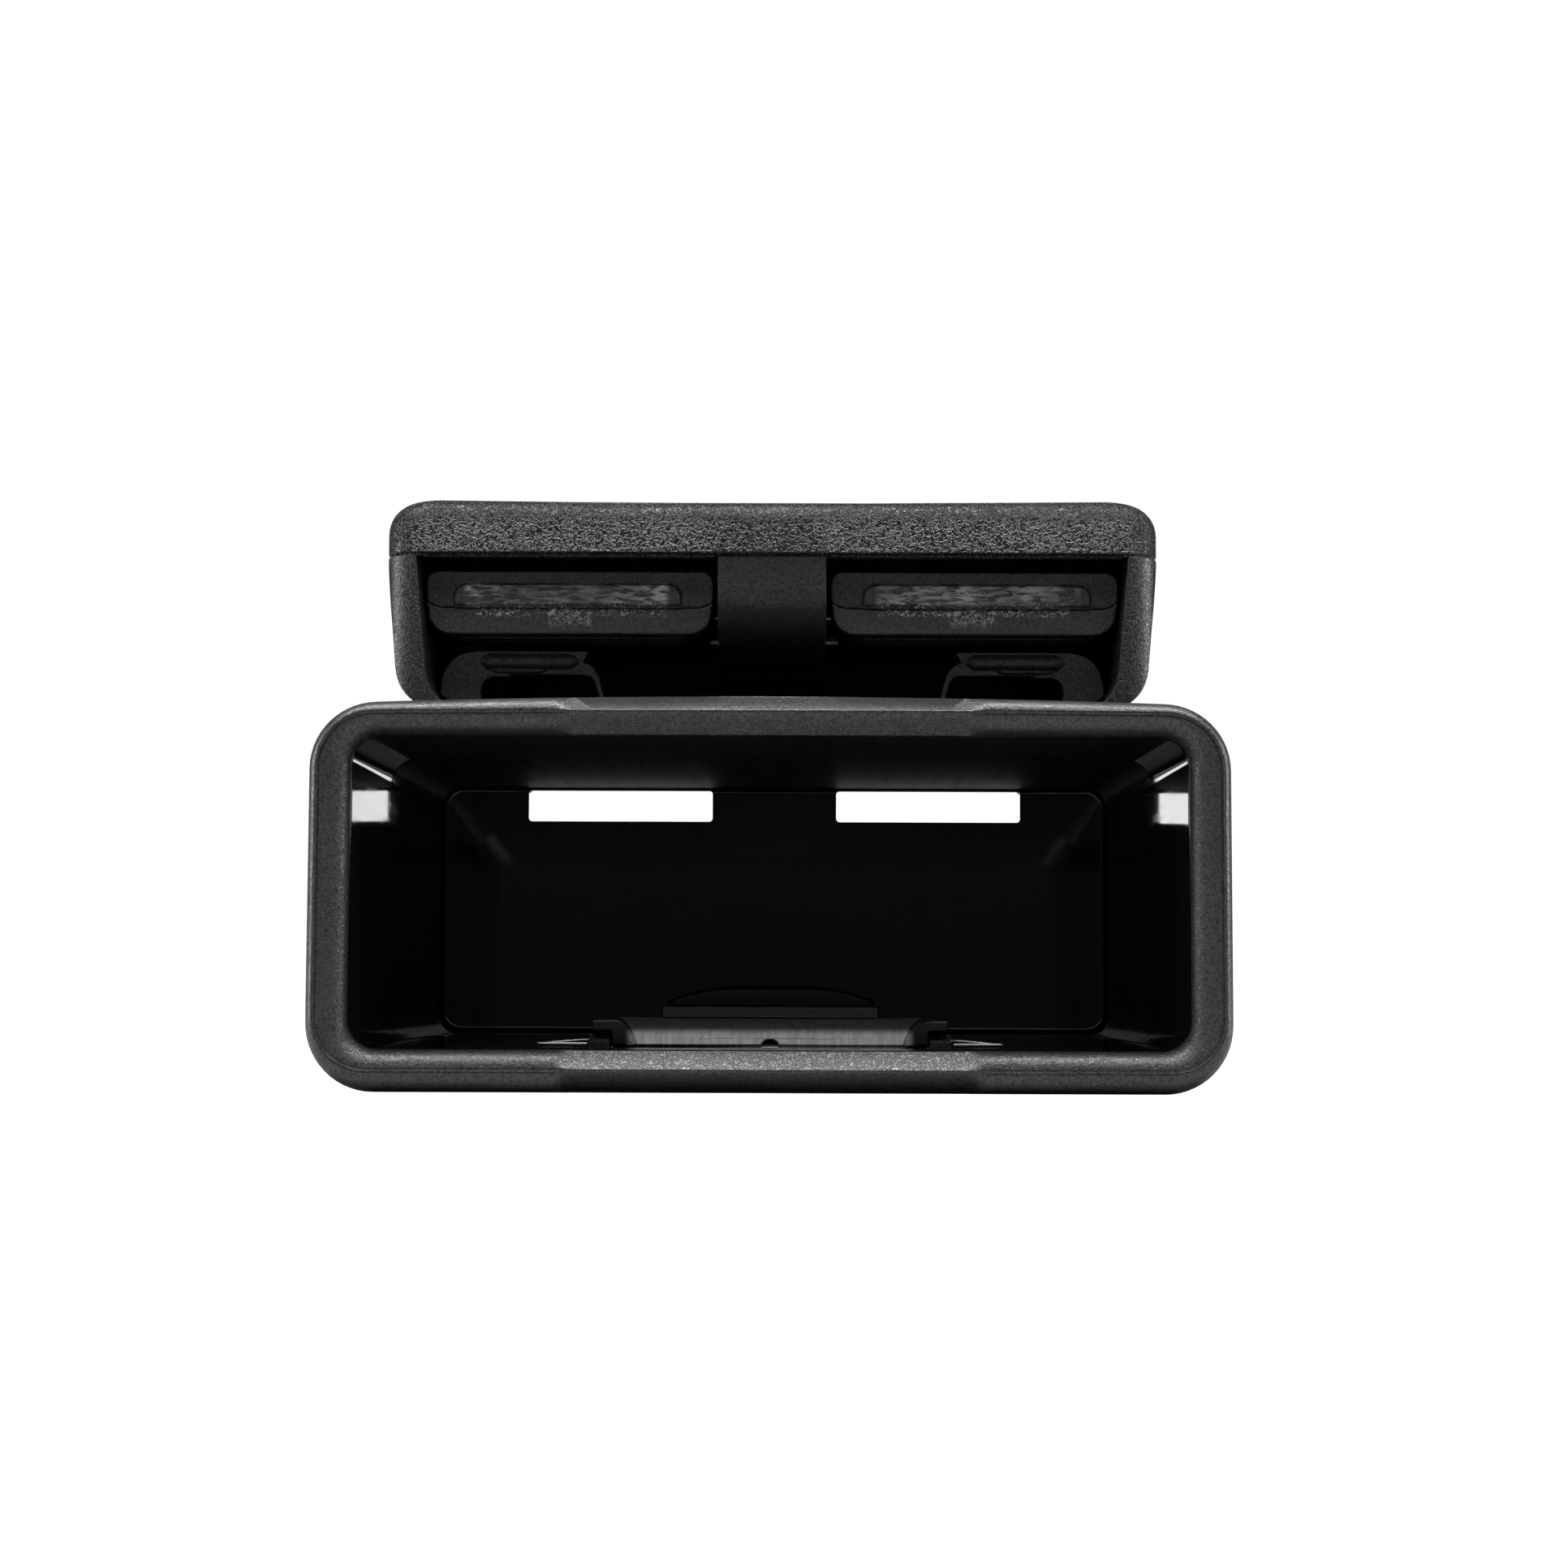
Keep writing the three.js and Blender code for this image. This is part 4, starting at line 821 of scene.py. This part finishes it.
def latch_lever():
    low, high = span("latch_lever")
    pivot_y, pivot_z = LATCH_PIVOT
    floor = RIM_LOW + 0.3
    half, top, plate_top, face = high.x, 11.3, 13.1, 24.9
    block = prism("retaining_lever", [(19.6, floor), (25, floor), (30.6, 8.1), (30.6, 10.7), (30, top),
                                      (20.2, top), (19.6, 10.7)], "x", -half, half)
    plate = prism("plate", [(face - 1, 8), (30, 8.1), (51, 11.5), (51, plate_top), (face, plate_top)],
                  "x", -17.6, 17.6)
    join(block, plate, rod("barrel", "x", pivot_y, pivot_z, -half, half, 2.4))
    scoop = [(5, floor), (22.3, floor)]
    scoop += bend(scoop[-1], (23.7, floor + 2.3), (24.3, 11), 24)
    scoop += [(face, plate_top), (face, 20), (5, 20)]
    above = prism("above", scoop, "x", -30, 30)
    right = [(21.5, RIM_LOW)]
    right += bend(right[-1], (22.3, top - 1.3), (24.5, top), 12)
    right.append((24.5, 20))
    dish = prism("dish", right + [(-x, z) for x, z in reversed(right)], "y", 0, 35)
    lug_top = span("latch_bracket")[1].z
    eaves = []
    for side in (-1, 1):
        x0, x1 = mirrored(side, 25.4, half + 1)
        eaves.append(box("lug_space", (x0, 16, -1), (x1, 34, lug_top + 0.5)))
    cut(block, common(above, dish), rod("bore", "x", pivot_y, pivot_z, -half - 1, half + 1, 1.33),
        rod("notch", "y", 0, pivot_z + 0.2, 5, 25, 1.5), *eaves)
    loops = [lip_outline(49.6 + 1.5 * (1 - math.cos(math.radians(15 * i))),
                         0.9 * (1 - math.sin(math.radians(15 * i)))) for i in range(7)]
    loops.append(lip_outline(high.y, 0))
    join(block, skin("lip", loops))
    soften(block, 0.3, 3, 34)
    return install(block, lever_plastic, ["latch_lever"], "latch")


def lip_outline(y, inset):
    """The lever's domed lip at one depth, drawn in from its full outline."""
    low, high = span("latch_lever")
    width, peak, shoulder = 17.8 - inset, high.z - inset, 14 - 0.5 * inset
    crown = [(-width, 12), (width, 12), (width, shoulder)]
    crown += bend(crown[-1], (12, peak), (6, peak), 12) + [(-6, peak)]
    crown += bend((-6, peak), (-12, peak), (-width, shoulder), 12)
    return [(x, y, z) for x, z in crown]


def wire(name, points, radius, nodes):
    """A spring wire through a row of points, between the two bodies that it bears on; it stays fixed and is
    attached to neither.
    """
    curve = bpy.data.curves.new(name, "CURVE")
    curve.dimensions = "3D"
    spline = curve.splines.new("NURBS")
    spline.points.add(len(points) - 1)
    for slot, point in zip(spline.points, points):
        slot.co = (*point, 1)
    spline.order_u = 3
    spline.use_endpoint_u = True
    curve.bevel_depth = radius
    curve.bevel_resolution = 3
    curve.resolution_u = 4
    curve.use_fill_caps = True
    drawn = bpy.data.objects.new(name + "_path", curve)
    bpy.context.scene.collection.objects.link(drawn)
    bpy.context.view_layer.update()
    mesh = bpy.data.meshes.new_from_object(drawn)
    bpy.data.objects.remove(drawn)
    piece = bpy.data.objects.new(name, mesh)
    bpy.context.scene.collection.objects.link(piece)
    bm = bmesh.new()
    bm.from_mesh(mesh)
    bmesh.ops.remove_doubles(bm, verts=bm.verts, dist=0.001)
    bmesh.ops.recalc_face_normals(bm, faces=bm.faces)
    bm.to_mesh(mesh)
    bm.free()
    install(piece, steel, nodes, body=None)
    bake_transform(piece)
    return piece


def latch_spring(side):
    name = hand(side)
    floor = RIM_LOW + 0.42
    path = [(21.7, 29.6, 7.1), (24.2, 29.5, 7.05), (29.6, 28.6, 7.6), (33.0, 27.4, 7.35),
            (36.1, 26.2, floor + 0.08), (37.5, 25.6, floor), (38.0, 25.1, floor), (37.5, 24.6, floor),
            (34.1, 24.3, floor), (29.7, 24.1, floor)]
    points = [(side * x, y, z) for x, y, z in path]
    wire(f"hairpin_spring_{name}", points, 0.3, [f"latch_spring_{name}"])


def coil(radius, x0, x1, start, end, centre, per_turn=14):
    """Points of a coil along x, turning from one angle to another, in degrees from +y towards +z."""
    count = round(abs(end - start) / 360 * per_turn)
    points = []
    for i in range(count + 1):
        angle = math.radians(lerp(start, end, i / count))
        points.append((lerp(x0, x1, i / count), centre[0] + radius * math.cos(angle),
                       centre[1] + radius * math.sin(angle)))
    return points


def tongue_spring(side):
    name = hand(side)
    x0, x1 = side * 45.1, side * 48.3
    y, z = PIVOT_Y, PIVOT_Z
    points = [(x0, y - 15, z - 0.75), (x0, y - 7, z + 1.4)]
    points += coil(3.1, x0, x1, 90, 1170, (y, z))
    points += [(x1, y + 4.4, z + 2.2), (x1, y + 12.6, z + 0.5)]
    wire(f"torsion_spring_tongue_{name}", points, 0.46, [f"tongue_spring_{name}"])


# ---- Carried-over CAD nodes --------------------------------------------------------------------


def carry(node, look, edge):
    """Keeps a CAD node, with softened edges and a worked material."""
    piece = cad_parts[node]
    piece.data.materials.clear()
    piece.data.materials.append(look)
    for kind, settings in (
        ("WELD", {"merge_threshold": 0.002 * MM}),
        ("DECIMATE", {"decimate_type": "DISSOLVE", "angle_limit": math.radians(0.5)}),
        ("BEVEL", {"width": edge * MM, "segments": 2, "limit_method": "ANGLE",
                   "angle_limit": math.radians(36), "use_clamp_overlap": True}),
    ):
        modifier = piece.modifiers.new(kind.lower(), kind)
        for key, value in settings.items():
            setattr(modifier, key, value)
    shade(piece)


front_collar()
rear_shell()
feet()
clip_frame()
clip_cover()
strap_guide()
latch_lever()
for side in (-1, 1):
    tongue(side)
    grip_pad(side)
    latch_spring(side)
    tongue_spring(side)

carry("latch_bracket", bracket_plastic, 0.25)
carry("latch_pin", steel, 0.12)
carry("clip_pin", steel, 0.2)
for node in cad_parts:
    if "_screw_" in node:
        carry(node, black_steel, 0.15)


# ---- Stage, light and camera -------------------------------------------------------------------


def floor():
    look, tree, shader, place = begin("pale floor")
    shade_of = noise(tree, place, 60 * MM, 2.0)
    seen = tree.nodes.new("ShaderNodeLightPath").outputs["Is Camera Ray"]
    pale = calc(tree, "MULTIPLY", remap(tree, shade_of, 0.3, 0.7, 0.52, 0.56),
                remap(tree, seen, 0.0, 1.0, 0.75, 1.0))
    shader.inputs["Emission Color"].default_value = (1, 1, 1, 1)
    feed(tree, shader.inputs["Emission Strength"], calc(tree, "MULTIPLY", seen, 0.9))
    finish(look, tree, shader, (pale, 0.8, calc(tree, "MULTIPLY", shade_of, 0.1), 0.1))
    bm = bmesh.new()
    bmesh.ops.create_grid(bm, x_segments=4, y_segments=4, size=6)
    sheet = add("studio_floor", bm)
    sheet.data.materials.append(look)


def surroundings():
    """A backdrop that is white to the camera and through the slots, in an otherwise dim studio."""
    world = bpy.data.worlds.new("studio")
    bpy.context.scene.world = world
    world.use_nodes = True
    tree = world.node_tree
    tree.nodes.clear()
    direction = tree.nodes.new("ShaderNodeTexCoord").outputs["Generated"]
    parts = put(tree, "SeparateXYZ", None, Vector=direction).outputs
    behind = remap(tree, parts[1], 0.90, 0.96, 0.0, 2.3)
    above = remap(tree, parts[2], -0.1, 0.6, 0.05, 0.12)
    path = tree.nodes.new("ShaderNodeLightPath")
    seen = put(tree, "Background", None, Color=(1, 1, 1, 1), Strength=1.05)
    lit = put(tree, "Background", None, Color=(1, 1, 1, 1), Strength=calc(tree, "MAXIMUM", behind, above))
    chosen = put(tree, "MixShader", None, Fac=path.outputs["Is Camera Ray"])
    tree.links.new(lit.outputs[0], chosen.inputs[1])
    tree.links.new(seen.outputs[0], chosen.inputs[2])
    out = tree.nodes.new("ShaderNodeOutputWorld")
    tree.links.new(chosen.outputs[0], out.inputs["Surface"])


def softbox(name, where, towards, width, height, power):
    light = bpy.data.lights.new(name, "AREA")
    light.shape = "RECTANGLE"
    light.size = width
    light.size_y = height
    light.energy = power
    lamp = bpy.data.objects.new(name, light)
    lamp.location = where
    lamp.rotation_euler = (Vector(towards) - Vector(where)).to_track_quat("-Z", "Y").to_euler()
    lamp.visible_camera = False
    bpy.context.scene.collection.objects.link(lamp)


def camera():
    """On the pocket's axis, low before the mouth and tipped up a little."""
    data = bpy.data.cameras.new("camera")
    data.sensor_width = 36
    data.lens = 59.81
    data.clip_start = 0.01
    eye = bpy.data.objects.new("camera", data)
    eye.location = (0.0034, MOUTH - 0.400, 0.0171)
    eye.rotation_euler = (math.radians(90 + 4.347), math.radians(-0.2), math.radians(0.16))
    bpy.context.scene.collection.objects.link(eye)
    bpy.context.scene.camera = eye


floor()
surroundings()
centre = (0, 0, 0.05)
softbox("front", (0, -0.38, 0.68), centre, 1.1, 0.25, 4)
softbox("top", (0, -0.08, 0.75), centre, 1.0, 0.1, 15)
softbox("fill", (0, -0.95, 0.42), centre, 0.9, 0.2, 0.6)
softbox("left", (-0.8, -0.06, 0.15), centre, 0.2, 0.6, 7)
softbox("right", (0.8, -0.06, 0.15), centre, 0.2, 0.6, 7)
camera()
bpy.context.scene.view_settings.view_transform = "Standard"
